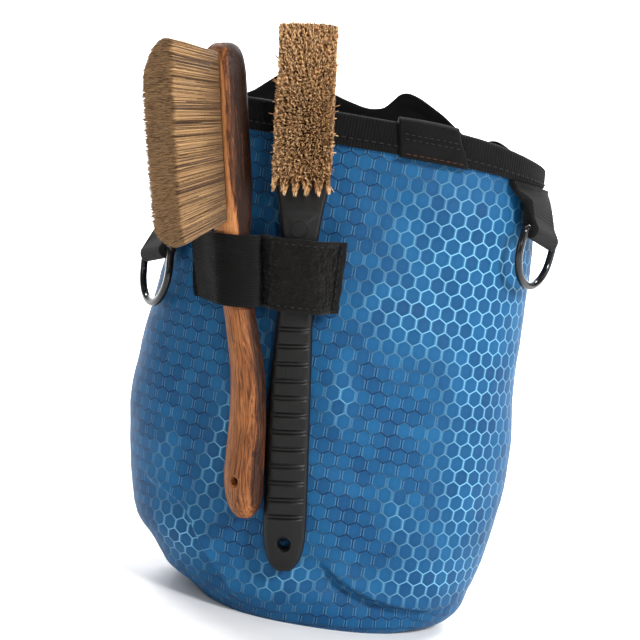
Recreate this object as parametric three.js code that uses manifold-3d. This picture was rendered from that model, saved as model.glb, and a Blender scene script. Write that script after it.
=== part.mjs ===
// A climbing chalk bag with the two brushes stowed in its strap. Lengths are in millimetres.
// The bag stands on its base: +Z is up, the front faces -Y, and the origin is on the ground below the mouth.
import * as THREE from 'three';
import { mergeVertices } from 'three/addons/utils/BufferGeometryUtils.js';
import Module from 'manifold-3d';

const wasm = await Module();
wasm.setup();

// Bag body
const RIM_TOP = 209;
const BODY_HALF_WIDTH = 82;
const BODY_HALF_DEPTH = 50;
const BODY_ROUNDNESS = 2.3;
const WALL = 2;
const GAP = 0.3;
const MOUTH_SAG = 9;
const FOLD_DEPTH = 3.2;
const FOLD_SPREAD = 7;

// Bound rim, collar and front tab
const BINDING_HEIGHT = 13;
const BINDING_THICKNESS = 1.4;
const COLLAR_THICKNESS = 1.5;
const COLLAR_BELOW_RIM = 19;
const COLLAR_RISE = 14;
const COLLAR_LEAN = 0.35;
const COLLAR_LEAN_START = 0.3;
const RIM_TAB_CENTRE = 23;
const RIM_TAB_WIDTH = 27;
const RIM_TAB_DROP = 13.5;

// Side tabs and the rings that hang in them
const WEBBING_THICKNESS = 1.5;
const TAB_WIDTH_AT_RIM = 29;
const TAB_FREE_LENGTH = 16;
const RIGHT_TAB_TURN = 25;
const LEFT_TAB_TURN = 20;
const RING_STANDOFF = 7;
const RING_INNER_WIDTH = 25;
const RING_BAR = 3.4;
const RING_BAND_THICKNESS = 3;
const RING_LIMB = 7.2;
const RING_CORNER = 3;
const RING_TILT = 12;
const RIGHT_BAR_DROP = 35;
const LEFT_BAR_DROP = 69;
const RIGHT_BAR_HEIGHT = RIM_TOP - RIGHT_BAR_DROP;
const LEFT_BAR_HEIGHT = RIM_TOP - LEFT_BAR_DROP;
const RUNNING_GAP = 0.5;

// Wooden brush
const WOOD_LENGTH = 183;
const WOOD_HEAD_WIDTH = 20;
const WOOD_HEAD_THICKNESS = 14.5;
const WOOD_TAIL_X = -26;
const WOOD_TAIL_HEIGHT = 44;
const WOOD_LEAN = 11.9;
const WOOD_ROLL = 57;
const WOOD_HOLE_RADIUS = 1.6;
const WOOD_HOLE_FROM_TAIL = 15;
const WOOD_HEAD_FROM = 0.65;
const WOOD_BRISTLE_LENGTH = 23;

// Plastic brush
const GRIP_LENGTH = 213;
const GRIP_WIDTH = 16.4;
const GRIP_THICKNESS = 9.4;
const GRIP_TAIL_X = -6.3;
const GRIP_TAIL_HEIGHT = 24.6;
const GRIP_LEAN = 7.2;
const GRIP_HOLE_RADIUS = 2.3;
const GRIP_HOLE_FROM_TAIL = 11.5;
const GROOVE_COUNT = 12;
const GROOVE_PITCH = 6.85;
const GROOVE_FROM_TAIL = 22.6;
const GROOVE_WIDTH = 1.8;
const GROOVE_DEPTH = 0.5;
const GRIP_HEAD_FROM = 0.66;
const GRIP_BRISTLE_LENGTH = 19;
const TUFT_COUNT = 16;
const TUFT_DEPTH = 0.04;

// Elastic strap over both handles, and the fastener patch on its free end
const STRAP_HEIGHT = 29;
const STRAP_THICKNESS = 1.8;
const STRAP_CENTRE_HEIGHT = 141;
const STRAP_RISE = 0.115;
const STRAP_LEFT_REACH = 18;
const STRAP_RIGHT_REACH = 18.5;
const STRAP_DIP_WIDTH = 2;
const PATCH_THICKNESS = 1.4;
const PATCH_MARGIN = 2;
const PATCH_FROM_DIP = 0.01;
const PATCH_END = 0.985;

// How finely the round forms are divided
const WALL_STATIONS = 52;
const WALL_RINGS_OUTSIDE = 20;
const WALL_RINGS_INSIDE = 12;
const WALL_RING_CROWDING = 1.6;
const HANDLE_SIDES = 14;
const DRILL_SIDES = 12;
const RING_STATIONS = 36;
const BRISTLE_SIDES = 32;
const STRAP_STATIONS = 60;
const PATCH_STATIONS = 32;

// Body sections. up is a share of the wall's height, left and right of the half width, front and back of the
// half depth. The lower left corner is slack and the lower right one is full.
const BODY_SECTIONS = [
  { up: 0.0, left: 0.51, right: 0.7, front: 0.88, back: 0.86 },
  { up: 0.015, left: 0.58, right: 0.79, front: 0.925, back: 0.9 },
  { up: 0.045, left: 0.715, right: 0.86, front: 0.96, back: 0.935 },
  { up: 0.09, left: 0.815, right: 0.9, front: 0.975, back: 0.95 },
  { up: 0.13, left: 0.905, right: 0.93, front: 0.985, back: 0.96 },
  { up: 0.2, left: 0.96, right: 0.955, front: 0.995, back: 0.965 },
  { up: 0.3, left: 1.01, right: 0.982, front: 1.0, back: 0.97 },
  { up: 0.38, left: 1.03, right: 0.984, front: 1.0, back: 0.97 },
  { up: 0.5, left: 1.02, right: 0.945, front: 0.99, back: 0.96 },
  { up: 0.65, left: 0.975, right: 0.918, front: 0.97, back: 0.945 },
  { up: 0.8, left: 0.925, right: 0.9, front: 0.94, back: 0.925 },
  { up: 0.92, left: 0.885, right: 0.88, front: 0.92, back: 0.915 },
  { up: 1.0, left: 0.868, right: 0.87, front: 0.91, back: 0.91 },
];

// Folds and dents pressed into the front. Ends are shares of the half width and of the wall's height,
// depth and spread are shares of the fold sizes.
const FRONT_FOLDS = [
  { fromX: -0.84, fromUp: 0.23, toX: -0.5, toUp: 0.12, depth: 0.7, spread: 0.7 },
  { fromX: -0.5, fromUp: 0.12, toX: -0.24, toUp: 0.025, depth: 0.8, spread: 0.8 },
  { fromX: 0.1, fromUp: 0.125, toX: 0.36, toUp: 0.065, depth: 1.0, spread: 0.9 },
  { fromX: 0.36, fromUp: 0.065, toX: 0.72, toUp: 0.055, depth: 0.9, spread: 0.9 },
  { fromX: 0.2, fromUp: 0.42, toX: 0.5, toUp: 0.24, depth: 0.5, spread: 1.8 },
  { fromX: 0.28, fromUp: 0.72, toX: 0.42, toUp: 0.6, depth: 0.45, spread: 1.7 },
];

// Collar's upper edge, going round from the right end over the back to the left end. turn is in degrees and
// rise is a share of the collar's rise above the rim.
const COLLAR_EDGE = [
  { turn: -90, rise: -0.35 },
  { turn: 0, rise: -0.3 },
  { turn: 15, rise: -0.1 },
  { turn: 38, rise: 0.22 },
  { turn: 54, rise: 0.0 },
  { turn: 70, rise: 0.62 },
  { turn: 80, rise: 1.0 },
  { turn: 85, rise: 0.98 },
  { turn: 90, rise: 0.42 },
  { turn: 98, rise: 0.45 },
  { turn: 118, rise: 0.92 },
  { turn: 131, rise: 1.0 },
  { turn: 146, rise: 0.35 },
  { turn: 162, rise: -0.05 },
  { turn: 180, rise: -0.3 },
  { turn: 270, rise: -0.35 },
];

// Wooden brush from tail to top. wide and thick are shares of the head's width and thickness.
const WOOD_SECTIONS = [
  { along: 0.0, wide: 0.3, thick: 0.34, square: 2 },
  { along: 0.012, wide: 0.52, thick: 0.58, square: 2 },
  { along: 0.035, wide: 0.7, thick: 0.8, square: 2 },
  { along: 0.075, wide: 0.79, thick: 0.92, square: 2 },
  { along: 0.12, wide: 0.79, thick: 0.94, square: 2 },
  { along: 0.2, wide: 0.72, thick: 0.9, square: 2 },
  { along: 0.3, wide: 0.65, thick: 0.86, square: 2 },
  { along: 0.43, wide: 0.62, thick: 0.84, square: 2 },
  { along: 0.62, wide: 0.62, thick: 0.85, square: 2.1 },
  { along: 0.665, wide: 0.76, thick: 0.92, square: 2.4 },
  { along: 0.71, wide: 0.94, thick: 0.99, square: 2.8 },
  { along: 0.76, wide: 1.0, thick: 1.0, square: 3 },
  { along: 0.95, wide: 1.0, thick: 1.0, square: 3 },
  { along: 0.985, wide: 0.84, thick: 0.94, square: 2.8 },
  { along: 1.0, wide: 0.5, thick: 0.7, square: 2.4 },
];

// Plastic brush from tail to top. wide and thick are shares of the grip's width and thickness.
const GRIP_SECTIONS = [
  { along: 0.0, wide: 0.34, thick: 0.4, square: 2.2 },
  { along: 0.01, wide: 0.58, thick: 0.66, square: 2.2 },
  { along: 0.03, wide: 0.82, thick: 0.88, square: 2.4 },
  { along: 0.06, wide: 0.96, thick: 0.97, square: 2.6 },
  { along: 0.1, wide: 1.0, thick: 1.0, square: 2.8 },
  { along: 0.33, wide: 0.93, thick: 1.0, square: 2.8 },
  { along: 0.49, wide: 0.8, thick: 0.98, square: 2.8 },
  { along: 0.62, wide: 0.78, thick: 0.94, square: 2.8 },
  { along: 0.66, wide: 0.9, thick: 0.9, square: 3 },
  { along: 0.715, wide: 1.2, thick: 0.86, square: 3.4 },
  { along: 0.75, wide: 1.24, thick: 0.84, square: 3.4 },
  { along: 0.97, wide: 1.2, thick: 0.84, square: 3.4 },
  { along: 1.0, wide: 0.98, thick: 0.76, square: 3 },
];

// Bristle fields, from the root to the tips. out is a share of the bristles' length, wide is a share of the
// head's width, and low and high are shares of the brush's length.
const WOOD_BRISTLE_ROWS = [
  { out: 0.0, wide: 0.76, low: 0.655, high: 0.965 },
  { out: 0.35, wide: 0.88, low: 0.645, high: 0.985 },
  { out: 0.8, wide: 1.0, low: 0.63, high: 1.015 },
  { out: 1.0, wide: 0.94, low: 0.64, high: 1.0 },
];
const GRIP_BRISTLE_ROWS = [
  { out: 0.0, wide: 0.98, low: 0.726, high: 0.985 },
  { out: 0.4, wide: 1.12, low: 0.717, high: 0.995 },
  { out: 0.85, wide: 1.3, low: 0.712, high: 1.004 },
  { out: 1.0, wide: 1.22, low: 0.718, high: 0.998 },
];

// The mouth sags towards its right end. across is in shares of the half width, up in shares of the rim's
// height.
const SAG_REACH = { fromAcross: 0.3, toAcross: 0.92, fromUp: 0.89 };

const BODY_TOP = RIM_TOP - BINDING_THICKNESS - GAP;
const FLAT_SHARE = 0.8;
const OUTER_LEG = GAP + BINDING_THICKNESS;
const INNER_LEG = -(WALL + GAP + BINDING_THICKNESS);

const materials = {
  ripstop: new THREE.MeshStandardMaterial({ color: 0x2f74ad, roughness: 0.62, metalness: 0 }),
  grosgrain: new THREE.MeshStandardMaterial({ color: 0x1d1d1f, roughness: 0.8, metalness: 0 }),
  webbing: new THREE.MeshStandardMaterial({ color: 0x18181a, roughness: 0.75, metalness: 0 }),
  elastic: new THREE.MeshStandardMaterial({ color: 0x151515, roughness: 0.9, metalness: 0 }),
  ring: new THREE.MeshStandardMaterial({ color: 0x0c0c0d, roughness: 0.22, metalness: 0 }),
  wood: new THREE.MeshStandardMaterial({ color: 0x8a5635, roughness: 0.55, metalness: 0 }),
  bristle: new THREE.MeshStandardMaterial({ color: 0xb99a6b, roughness: 0.85, metalness: 0 }),
  plastic: new THREE.MeshStandardMaterial({ color: 0x29282a, roughness: 0.45, metalness: 0 }),
};

const radians = THREE.MathUtils.degToRad;

// Reads one column of a table at a place between its rows, with a smooth curve through them.
function readTable(rows, key, place, column) {
  const last = rows.length - 1;
  let i = 0;
  while (i < last - 1 && rows[i + 1][key] < place) i += 1;
  const slope = (k) => {
    const before = rows[Math.max(k - 1, 0)];
    const after = rows[Math.min(k + 1, last)];
    return (after[column] - before[column]) / (after[key] - before[key]);
  };
  const span = rows[i + 1][key] - rows[i][key];
  const t = THREE.MathUtils.clamp((place - rows[i][key]) / span, 0, 1);
  const rise = rows[i + 1][column] - rows[i][column];
  const bend = t * (1 - t) * ((1 - t) * (slope(i) * span - rise) - t * (slope(i + 1) * span - rise));
  return rows[i][column] + t * rise + bend;
}

function signedPower(value, power) {
  return Math.sign(value) * Math.abs(value) ** power;
}

// Points of a rounded rectangle or ellipse, which grows squarer with its exponent.
function superellipse(halfWide, halfTall, square, sides) {
  return Array.from({ length: sides }, (_, i) => {
    const angle = (2 * Math.PI * i) / sides;
    return new THREE.Vector2(
      halfWide * signedPower(Math.cos(angle), 2 / square),
      halfTall * signedPower(Math.sin(angle), 2 / square),
    );
  });
}

// Builds a body from points and triangles, and turns its faces outwards.
function closedSurface(points, triangles) {
  const volume = triangles.reduce((sum, [a, b, c]) => (
    sum + points[a].dot(new THREE.Vector3().crossVectors(points[b], points[c]))), 0);
  const index = triangles.flatMap(([a, b, c]) => (volume > 0 ? [a, b, c] : [a, c, b]));
  const geometry = new THREE.BufferGeometry().setFromPoints(points);
  geometry.setIndex(index);
  geometry.computeVertexNormals();
  return geometry;
}

// Joins rings of points. With an outline, both ends are closed by its flat faces; without one, the last
// ring meets the first.
function loft(rings, outline = null) {
  const sides = rings[0].length;
  const bands = outline ? rings.length - 1 : rings.length;
  const triangles = [];
  for (let b = 0; b < bands; b += 1) {
    const here = b * sides;
    const next = ((b + 1) % rings.length) * sides;
    for (let i = 0; i < sides; i += 1) {
      const j = (i + 1) % sides;
      triangles.push([here + i, here + j, next + j], [here + i, next + j, next + i]);
    }
  }
  if (outline) {
    const end = (rings.length - 1) * sides;
    const forward = THREE.ShapeUtils.area(outline) > 0;
    for (const [a, b, c] of THREE.ShapeUtils.triangulateShape([...outline], [])) {
      const face = forward ? [a, b, c] : [a, c, b];
      triangles.push([face[0], face[2], face[1]]);
      triangles.push(face.map((corner) => corner + end));
    }
  }
  return closedSurface(rings.flat(), triangles);
}

// Sizes of the body's section at a share of its height.
function bodySection(up) {
  const read = (column) => readTable(BODY_SECTIONS, 'up', up, column);
  return {
    left: read('left') * BODY_HALF_WIDTH,
    right: read('right') * BODY_HALF_WIDTH,
    front: read('front') * BODY_HALF_DEPTH,
    back: read('back') * BODY_HALF_DEPTH,
  };
}

// How far the folds press in at a place on the front.
function foldDepth(x, height) {
  const spot = new THREE.Vector2(x, height);
  return FRONT_FOLDS.reduce((deepest, fold) => {
    const from = new THREE.Vector2(fold.fromX * BODY_HALF_WIDTH, fold.fromUp * BODY_TOP);
    const to = new THREE.Vector2(fold.toX * BODY_HALF_WIDTH, fold.toUp * BODY_TOP);
    const along = to.clone().sub(from);
    const share = THREE.MathUtils.clamp(spot.clone().sub(from).dot(along) / along.lengthSq(), 0, 1);
    const away = spot.distanceTo(from.addScaledVector(along, share)) / (FOLD_SPREAD * fold.spread);
    return Math.max(deepest, FOLD_DEPTH * fold.depth * Math.exp(-away * away));
  }, 0);
}

// Outside of the wall at an angle (0 at the right end, 90 at the back) and a share of its height.
function wallPoint(angle, up) {
  const section = bodySection(up);
  const x = signedPower(Math.cos(angle), 2 / BODY_ROUNDNESS);
  const y = signedPower(Math.sin(angle), 2 / BODY_ROUNDNESS);
  const point = new THREE.Vector3(
    x * (x > 0 ? section.right : section.left),
    y * (y > 0 ? section.back : section.front),
    up * BODY_TOP,
  );
  if (y < 0) point.y += foldDepth(point.x, point.z) * y * y;
  return point;
}

function wallNormal(angle, up) {
  const step = 0.01;
  const around = wallPoint(angle + step, up).sub(wallPoint(angle - step, up));
  const low = Math.max(up - step, 0);
  const high = Math.min(up + step, 1);
  const upward = wallPoint(angle, high).sub(wallPoint(angle, low));
  return around.cross(upward).normalize();
}

// A point beside the wall: a height in millimetres, and a distance out from the wall's outside.
function besideWall(angle, height, out) {
  const up = Math.min(height / BODY_TOP, 1);
  const level = wallNormal(angle, up).setZ(0).normalize();
  const point = wallPoint(angle, up).addScaledVector(level, out);
  return point.setZ(height);
}

// Lowers what lies near the right end of the mouth.
function sagged(geometry) {
  const spots = geometry.attributes.position;
  for (let i = 0; i < spots.count; i += 1) {
    const across = THREE.MathUtils.clamp(THREE.MathUtils.inverseLerp(
      SAG_REACH.fromAcross * BODY_HALF_WIDTH,
      SAG_REACH.toAcross * BODY_HALF_WIDTH,
      spots.getX(i),
    ), 0, 1);
    const upward = THREE.MathUtils.smoothstep(spots.getZ(i), SAG_REACH.fromUp * RIM_TOP, RIM_TOP);
    spots.setZ(i, spots.getZ(i) - MOUTH_SAG * across * across * upward);
  }
  geometry.computeVertexNormals();
  return geometry;
}

const wallAngles = Array.from({ length: WALL_STATIONS }, (_, i) => (2 * Math.PI * i) / WALL_STATIONS);

// Angle on the front of the wall at a given x.
function frontAngle(x, height) {
  const section = bodySection(Math.min(height / BODY_TOP, 1));
  const share = Math.min(Math.abs(x) / (x > 0 ? section.right : section.left), 1);
  return -Math.acos(Math.sign(x) * share ** (BODY_ROUNDNESS / 2));
}

// How far the front stands out at a given x and height, with the binding at the rim.
function frontReach(x, height) {
  const wall = -wallPoint(frontAngle(x, height), Math.min(height / BODY_TOP, 1)).y;
  return height > RIM_TOP - BINDING_HEIGHT ? wall + OUTER_LEG : wall;
}

function sideWall() {
  const rings = [];
  for (let k = 0; k <= WALL_RINGS_OUTSIDE; k += 1) {
    const up = (k / WALL_RINGS_OUTSIDE) ** WALL_RING_CROWDING;
    rings.push(wallAngles.map((angle) => wallPoint(angle, up)));
  }
  for (let k = WALL_RINGS_INSIDE; k >= 0; k -= 1) {
    const up = (k / WALL_RINGS_INSIDE) ** WALL_RING_CROWDING;
    rings.push(wallAngles.map((angle) => {
      if (k === 0) return wallPoint(angle, 0).setZ(WALL);
      const inside = wallPoint(angle, up).addScaledVector(wallNormal(angle, up), -WALL);
      return k === WALL_RINGS_INSIDE ? inside.setZ(BODY_TOP) : inside;
    }));
  }
  return loft(rings);
}

function basePanel() {
  const outline = wallAngles.map((angle) => {
    const level = wallNormal(angle, 0).setZ(0).normalize();
    const edge = wallPoint(angle, 0).addScaledVector(level, -GAP);
    return new THREE.Vector2(edge.x, edge.y);
  });
  const shape = new THREE.Shape(outline);
  return new THREE.ExtrudeGeometry(shape, { depth: WALL, bevelEnabled: false });
}

// Sweeps a profile of distances out from the wall and heights along part or all of the wall.
function alongWall(profile, angles, closed) {
  const rings = angles.map((angle) => profile(angle).map((spot) => besideWall(angle, spot.y, spot.x)));
  return loft(rings, closed ? null : profile(angles[0]));
}

function rimBinding() {
  const bottom = RIM_TOP - BINDING_HEIGHT;
  const shoulder = RIM_TOP - BINDING_THICKNESS;
  const roundOff = BINDING_THICKNESS * 0.6;
  const profile = [
    new THREE.Vector2(OUTER_LEG, bottom),
    new THREE.Vector2(OUTER_LEG, shoulder),
    new THREE.Vector2(OUTER_LEG - roundOff, RIM_TOP),
    new THREE.Vector2(INNER_LEG + roundOff, RIM_TOP),
    new THREE.Vector2(INNER_LEG, shoulder),
    new THREE.Vector2(INNER_LEG, bottom),
    new THREE.Vector2(INNER_LEG + BINDING_THICKNESS, bottom),
    new THREE.Vector2(INNER_LEG + BINDING_THICKNESS, BODY_TOP + GAP),
    new THREE.Vector2(GAP, BODY_TOP + GAP),
    new THREE.Vector2(GAP, bottom),
  ];
  return alongWall(() => profile, wallAngles, true);
}

function collarTop(angle) {
  const turn = THREE.MathUtils.euclideanModulo(THREE.MathUtils.radToDeg(angle) + 90, 360) - 90;
  return RIM_TOP + COLLAR_RISE * readTable(COLLAR_EDGE, 'turn', turn, 'rise');
}

function mouthCollar() {
  const outside = INNER_LEG - GAP;
  const bottom = RIM_TOP - COLLAR_BELOW_RIM;
  const profile = (angle) => {
    const top = collarTop(angle);
    const lean = COLLAR_LEAN * Math.max(top - RIM_TOP + COLLAR_RISE * COLLAR_LEAN_START, 0);
    return [
      new THREE.Vector2(outside, bottom),
      new THREE.Vector2(outside, RIM_TOP - BINDING_HEIGHT / 2),
      new THREE.Vector2(outside - lean, top),
      new THREE.Vector2(outside - lean - COLLAR_THICKNESS, top),
      new THREE.Vector2(outside - COLLAR_THICKNESS, RIM_TOP - BINDING_HEIGHT / 2),
      new THREE.Vector2(outside - COLLAR_THICKNESS, bottom),
    ];
  };
  return alongWall(profile, wallAngles, true);
}

// Webbing folded over the front of the rim, down both sides of the binding and the collar.
function rimTab() {
  const stations = 7;
  const front = OUTER_LEG + GAP;
  const inside = INNER_LEG - GAP - COLLAR_THICKNESS - GAP;
  const bottom = RIM_TOP - RIM_TAB_DROP;
  const seat = RIM_TOP + GAP;
  const fold = WEBBING_THICKNESS;
  const shoulder = seat + fold * 0.2;
  const crownInset = fold * 0.6;
  const profile = [
    new THREE.Vector2(front, bottom),
    new THREE.Vector2(front, seat),
    new THREE.Vector2(inside, seat),
    new THREE.Vector2(inside, bottom),
    new THREE.Vector2(inside - fold, bottom),
    new THREE.Vector2(inside - fold, shoulder),
    new THREE.Vector2(inside - fold + crownInset, seat + fold),
    new THREE.Vector2(front + fold - crownInset, seat + fold),
    new THREE.Vector2(front + fold, shoulder),
    new THREE.Vector2(front + fold, bottom),
  ];
  const angles = Array.from({ length: stations }, (_, i) => {
    const x = RIM_TAB_CENTRE + RIM_TAB_WIDTH * (i / (stations - 1) - 0.5);
    return frontAngle(x, RIM_TOP);
  });
  return alongWall(() => profile, angles, false);
}

// Where a ring's bar lies: its centre, the direction that points to the back along it, and outwards.
function barFrame(side, barHeight) {
  const angle = side > 0 ? -radians(RIGHT_TAB_TURN) : -Math.PI + radians(LEFT_TAB_TURN);
  const out = wallNormal(angle, barHeight / BODY_TOP).setZ(0).normalize();
  const centre = besideWall(angle, barHeight, RING_STANDOFF);
  const level = new THREE.Vector3(0, 0, 1).cross(out).multiplyScalar(side);
  const tilt = radians(RING_TILT);
  const back = level.clone().multiplyScalar(Math.cos(tilt)).setZ(-Math.sin(tilt));
  return { angle, out, centre, back };
}

// Webbing that hangs from the rim along the wall, stands off it, and folds round the ring's bar.
function sideTab(side, barHeight) {
  const bar = barFrame(side, barHeight);
  const hole = RING_BAR / 2 + RUNNING_GAP;
  const turnRadius = hole + WEBBING_THICKNESS;
  const slit = GAP / 2;
  const layers = slit + WEBBING_THICKNESS;
  const top = RIM_TOP - BINDING_HEIGHT - GAP;
  const freeTop = barHeight + turnRadius + TAB_FREE_LENGTH;
  const steps = 4;
  const arcSteps = 6;
  const stations = 5;

  const throat = turnRadius * 1.6;
  const throatShares = [1, 0.72, 0.46, 0.22, 0];
  const release = TAB_FREE_LENGTH * 0.55;

  // Share of the way from lying on the wall to hanging at the bar.
  const freed = (height) => THREE.MathUtils.smoothstep(freeTop - height, 0, release);
  const spine = (height) => {
    const onWall = 2 * GAP + layers;
    const share = THREE.MathUtils.smoothstep(freeTop - height, 0, freeTop - barHeight);
    return onWall + (RING_STANDOFF - onWall) * share;
  };
  const halfAt = (height, atTop, atBar) => (
    atTop + (atBar - atTop) * THREE.MathUtils.smoothstep(barHeight + throat - height, 0, throat));
  const heights = [
    ...Array.from({ length: steps }, (_, k) => top + ((barHeight + throat - top) * k) / steps),
    ...throatShares.map((share) => barHeight + throat * share),
  ];
  const leg = (sign, atTop, atBar) => heights.map((height) => (
    new THREE.Vector2(spine(height) + sign * halfAt(height, atTop, atBar), height)));
  const arc = (from, radius) => Array.from({ length: arcSteps - 1 }, (_, k) => {
    const angle = (Math.PI * (k + 1)) / arcSteps;
    return new THREE.Vector2(
      RING_STANDOFF + from * radius * Math.cos(angle),
      barHeight - radius * Math.sin(angle),
    );
  });
  const profile = [
    ...leg(1, layers, turnRadius),
    ...arc(1, turnRadius),
    ...leg(-1, layers, turnRadius).reverse(),
    ...leg(-1, slit, hole),
    ...arc(-1, hole),
    ...leg(1, slit, hole).reverse(),
  ];

  const step = 0.01;
  const pace = wallPoint(bar.angle + step, 1).distanceTo(wallPoint(bar.angle - step, 1)) / (2 * step);
  const widthAtBar = RING_INNER_WIDTH - RING_CORNER - 2 * RUNNING_GAP;
  const rings = Array.from({ length: stations }, (_, s) => {
    const share = s / (stations - 1) - 0.5;
    const angle = bar.angle + (side * share * TAB_WIDTH_AT_RIM) / pace;
    return profile.map((spot) => {
      const onWall = besideWall(angle, spot.y, spot.x);
      const atBar = bar.centre.clone()
        .addScaledVector(bar.back, share * widthAtBar)
        .addScaledVector(bar.out, spot.x - RING_STANDOFF)
        .add(new THREE.Vector3(0, 0, spot.y - barHeight));
      return onWall.lerp(atBar, freed(spot.y));
    });
  });
  return loft(rings, profile);
}

// A D-shaped ring in its own frame: the bar lies along X, and the bow hangs towards -Z.
function dRing() {
  const half = (RING_INNER_WIDTH + RING_BAR) / 2;
  const path = new THREE.Path();
  path.moveTo(-half + RING_CORNER, 0);
  path.lineTo(half - RING_CORNER, 0);
  path.absarc(half - RING_CORNER, -RING_CORNER, RING_CORNER, Math.PI / 2, 0, true);
  path.lineTo(half, -RING_LIMB);
  path.absarc(0, -RING_LIMB, half, 0, -Math.PI, true);
  path.lineTo(-half, -RING_CORNER);
  path.absarc(-half + RING_CORNER, -RING_CORNER, RING_CORNER, Math.PI, Math.PI / 2, true);
  const points = path.getSpacedPoints(RING_STATIONS).slice(0, -1);
  const section = superellipse(RING_BAR / 2, RING_BAND_THICKNESS / 2, 2.2, 8);
  const rings = points.map((point, i) => {
    const before = points[(i + points.length - 1) % points.length];
    const after = points[(i + 1) % points.length];
    const across = new THREE.Vector2(after.y - before.y, before.x - after.x).normalize();
    return section.map((spot) => (
      new THREE.Vector3(point.x + across.x * spot.x, spot.y, point.y + across.y * spot.x)));
  });
  return loft(rings);
}

// Half sizes and shape of a brush handle at a distance from its tail.
function handleSection(table, length, width, thickness, distance) {
  const along = THREE.MathUtils.clamp(distance / length, 0, 1);
  return {
    wide: (readTable(table, 'along', along, 'wide') * width) / 2,
    thick: (readTable(table, 'along', along, 'thick') * thickness) / 2,
    square: readTable(table, 'along', along, 'square'),
  };
}

const woodSection = (distance) => (
  handleSection(WOOD_SECTIONS, WOOD_LENGTH, WOOD_HEAD_WIDTH, WOOD_HEAD_THICKNESS, distance));
const gripSection = (distance) => (
  handleSection(GRIP_SECTIONS, GRIP_LENGTH, GRIP_WIDTH, GRIP_THICKNESS, distance));

// A handle that stands along Z in its own frame, with a flat face for bristles on the -Y side of its head.
function handleBody(sectionAt, distances, headFrom, pressIn) {
  const rings = distances.map((distance) => {
    const size = sectionAt(distance);
    const inset = pressIn(distance);
    const flat = distance > headFrom ? -FLAT_SHARE * size.thick : -size.thick;
    return superellipse(size.wide - inset, size.thick - inset, size.square, HANDLE_SIDES)
      .map((spot) => new THREE.Vector3(spot.x, Math.max(spot.y, flat), distance));
  });
  return loft(rings, superellipse(1, 1, 2, HANDLE_SIDES));
}

function solidOf(geometry) {
  const bare = geometry.clone();
  bare.deleteAttribute('normal');
  bare.deleteAttribute('uv');
  const merged = mergeVertices(bare, 1e-4);
  return new wasm.Manifold(new wasm.Mesh({
    numProp: 3,
    vertProperties: Float32Array.from(merged.attributes.position.array),
    triVerts: Uint32Array.from(merged.index.array),
  }));
}

// Drills a round hole through a handle, along Y.
function drilled(geometry, radius, fromTail, depth) {
  const drill = new THREE.CylinderGeometry(radius, radius, depth * 2, DRILL_SIDES);
  drill.translate(0, 0, fromTail);
  const mesh = solidOf(geometry).subtract(solidOf(drill)).getMesh();
  const cut = new THREE.BufferGeometry();
  cut.setAttribute('position', new THREE.Float32BufferAttribute(mesh.vertProperties, 3));
  cut.setIndex(Array.from(mesh.triVerts));
  cut.computeVertexNormals();
  return cut;
}

function woodHandle() {
  const between = [0.15, 0.25, 0.36, 0.52, 0.64, 0.735];
  const shares = [...WOOD_SECTIONS.map((row) => row.along), ...between].sort((a, b) => a - b);
  const distances = shares.map((share) => share * WOOD_LENGTH);
  const body = handleBody(woodSection, distances, WOOD_LENGTH * WOOD_HEAD_FROM, () => 0);
  return drilled(body, WOOD_HOLE_RADIUS, WOOD_HOLE_FROM_TAIL, WOOD_HEAD_THICKNESS);
}

// The plastic grip has a row of grooves round it.
function gripHandle() {
  const grooves = Array.from({ length: GROOVE_COUNT }, (_, i) => GROOVE_FROM_TAIL + i * GROOVE_PITCH);
  const edges = [-0.5, -0.25, 0.25, 0.5].map((share) => share * GROOVE_WIDTH);
  const floorReach = GROOVE_WIDTH * 0.4;
  const plain = GRIP_SECTIONS.map((row) => row.along * GRIP_LENGTH)
    .filter((distance) => grooves.every((groove) => Math.abs(distance - groove) > GROOVE_WIDTH));
  const grooved = grooves.flatMap((groove) => edges.map((edge) => groove + edge));
  const distances = [...plain, ...grooved].sort((a, b) => a - b);
  const pressIn = (distance) => (
    grooves.some((groove) => Math.abs(distance - groove) < floorReach) ? GROOVE_DEPTH : 0);
  const body = handleBody(gripSection, distances, GRIP_LENGTH * GRIP_HEAD_FROM, pressIn);
  return drilled(body, GRIP_HOLE_RADIUS, GRIP_HOLE_FROM_TAIL, GRIP_THICKNESS);
}

// Bristles that leave the flat face towards -Y, with their tips gathered in tufts round the edge.
function bristleField(rows, length, headWidth, bristleLength, seat) {
  const squareness = 5;
  const ring = (row) => {
    const middle = ((row.low + row.high) / 2) * length;
    const halfTall = ((row.high - row.low) / 2) * length;
    return superellipse((row.wide * headWidth) / 2, halfTall, squareness, BRISTLE_SIDES).map((spot, i) => {
      const wave = (1 - Math.cos((TUFT_COUNT * 2 * Math.PI * i) / BRISTLE_SIDES)) / 2;
      const gather = row.out > 0.5 ? 1 - TUFT_DEPTH * wave : 1;
      return new THREE.Vector3(spot.x * gather, seat - row.out * bristleLength, middle + spot.y * gather);
    });
  };
  return loft(rows.map(ring), superellipse(1, 1, 2, BRISTLE_SIDES));
}

// Half of a handle's extent towards the wall when it is rolled about its own axis.
function halfReach(section, roll) {
  const power = section.square / (section.square - 1);
  return ((section.wide * Math.abs(Math.sin(roll))) ** power
    + (section.thick * Math.abs(Math.cos(roll))) ** power) ** (1 / power);
}

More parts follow.
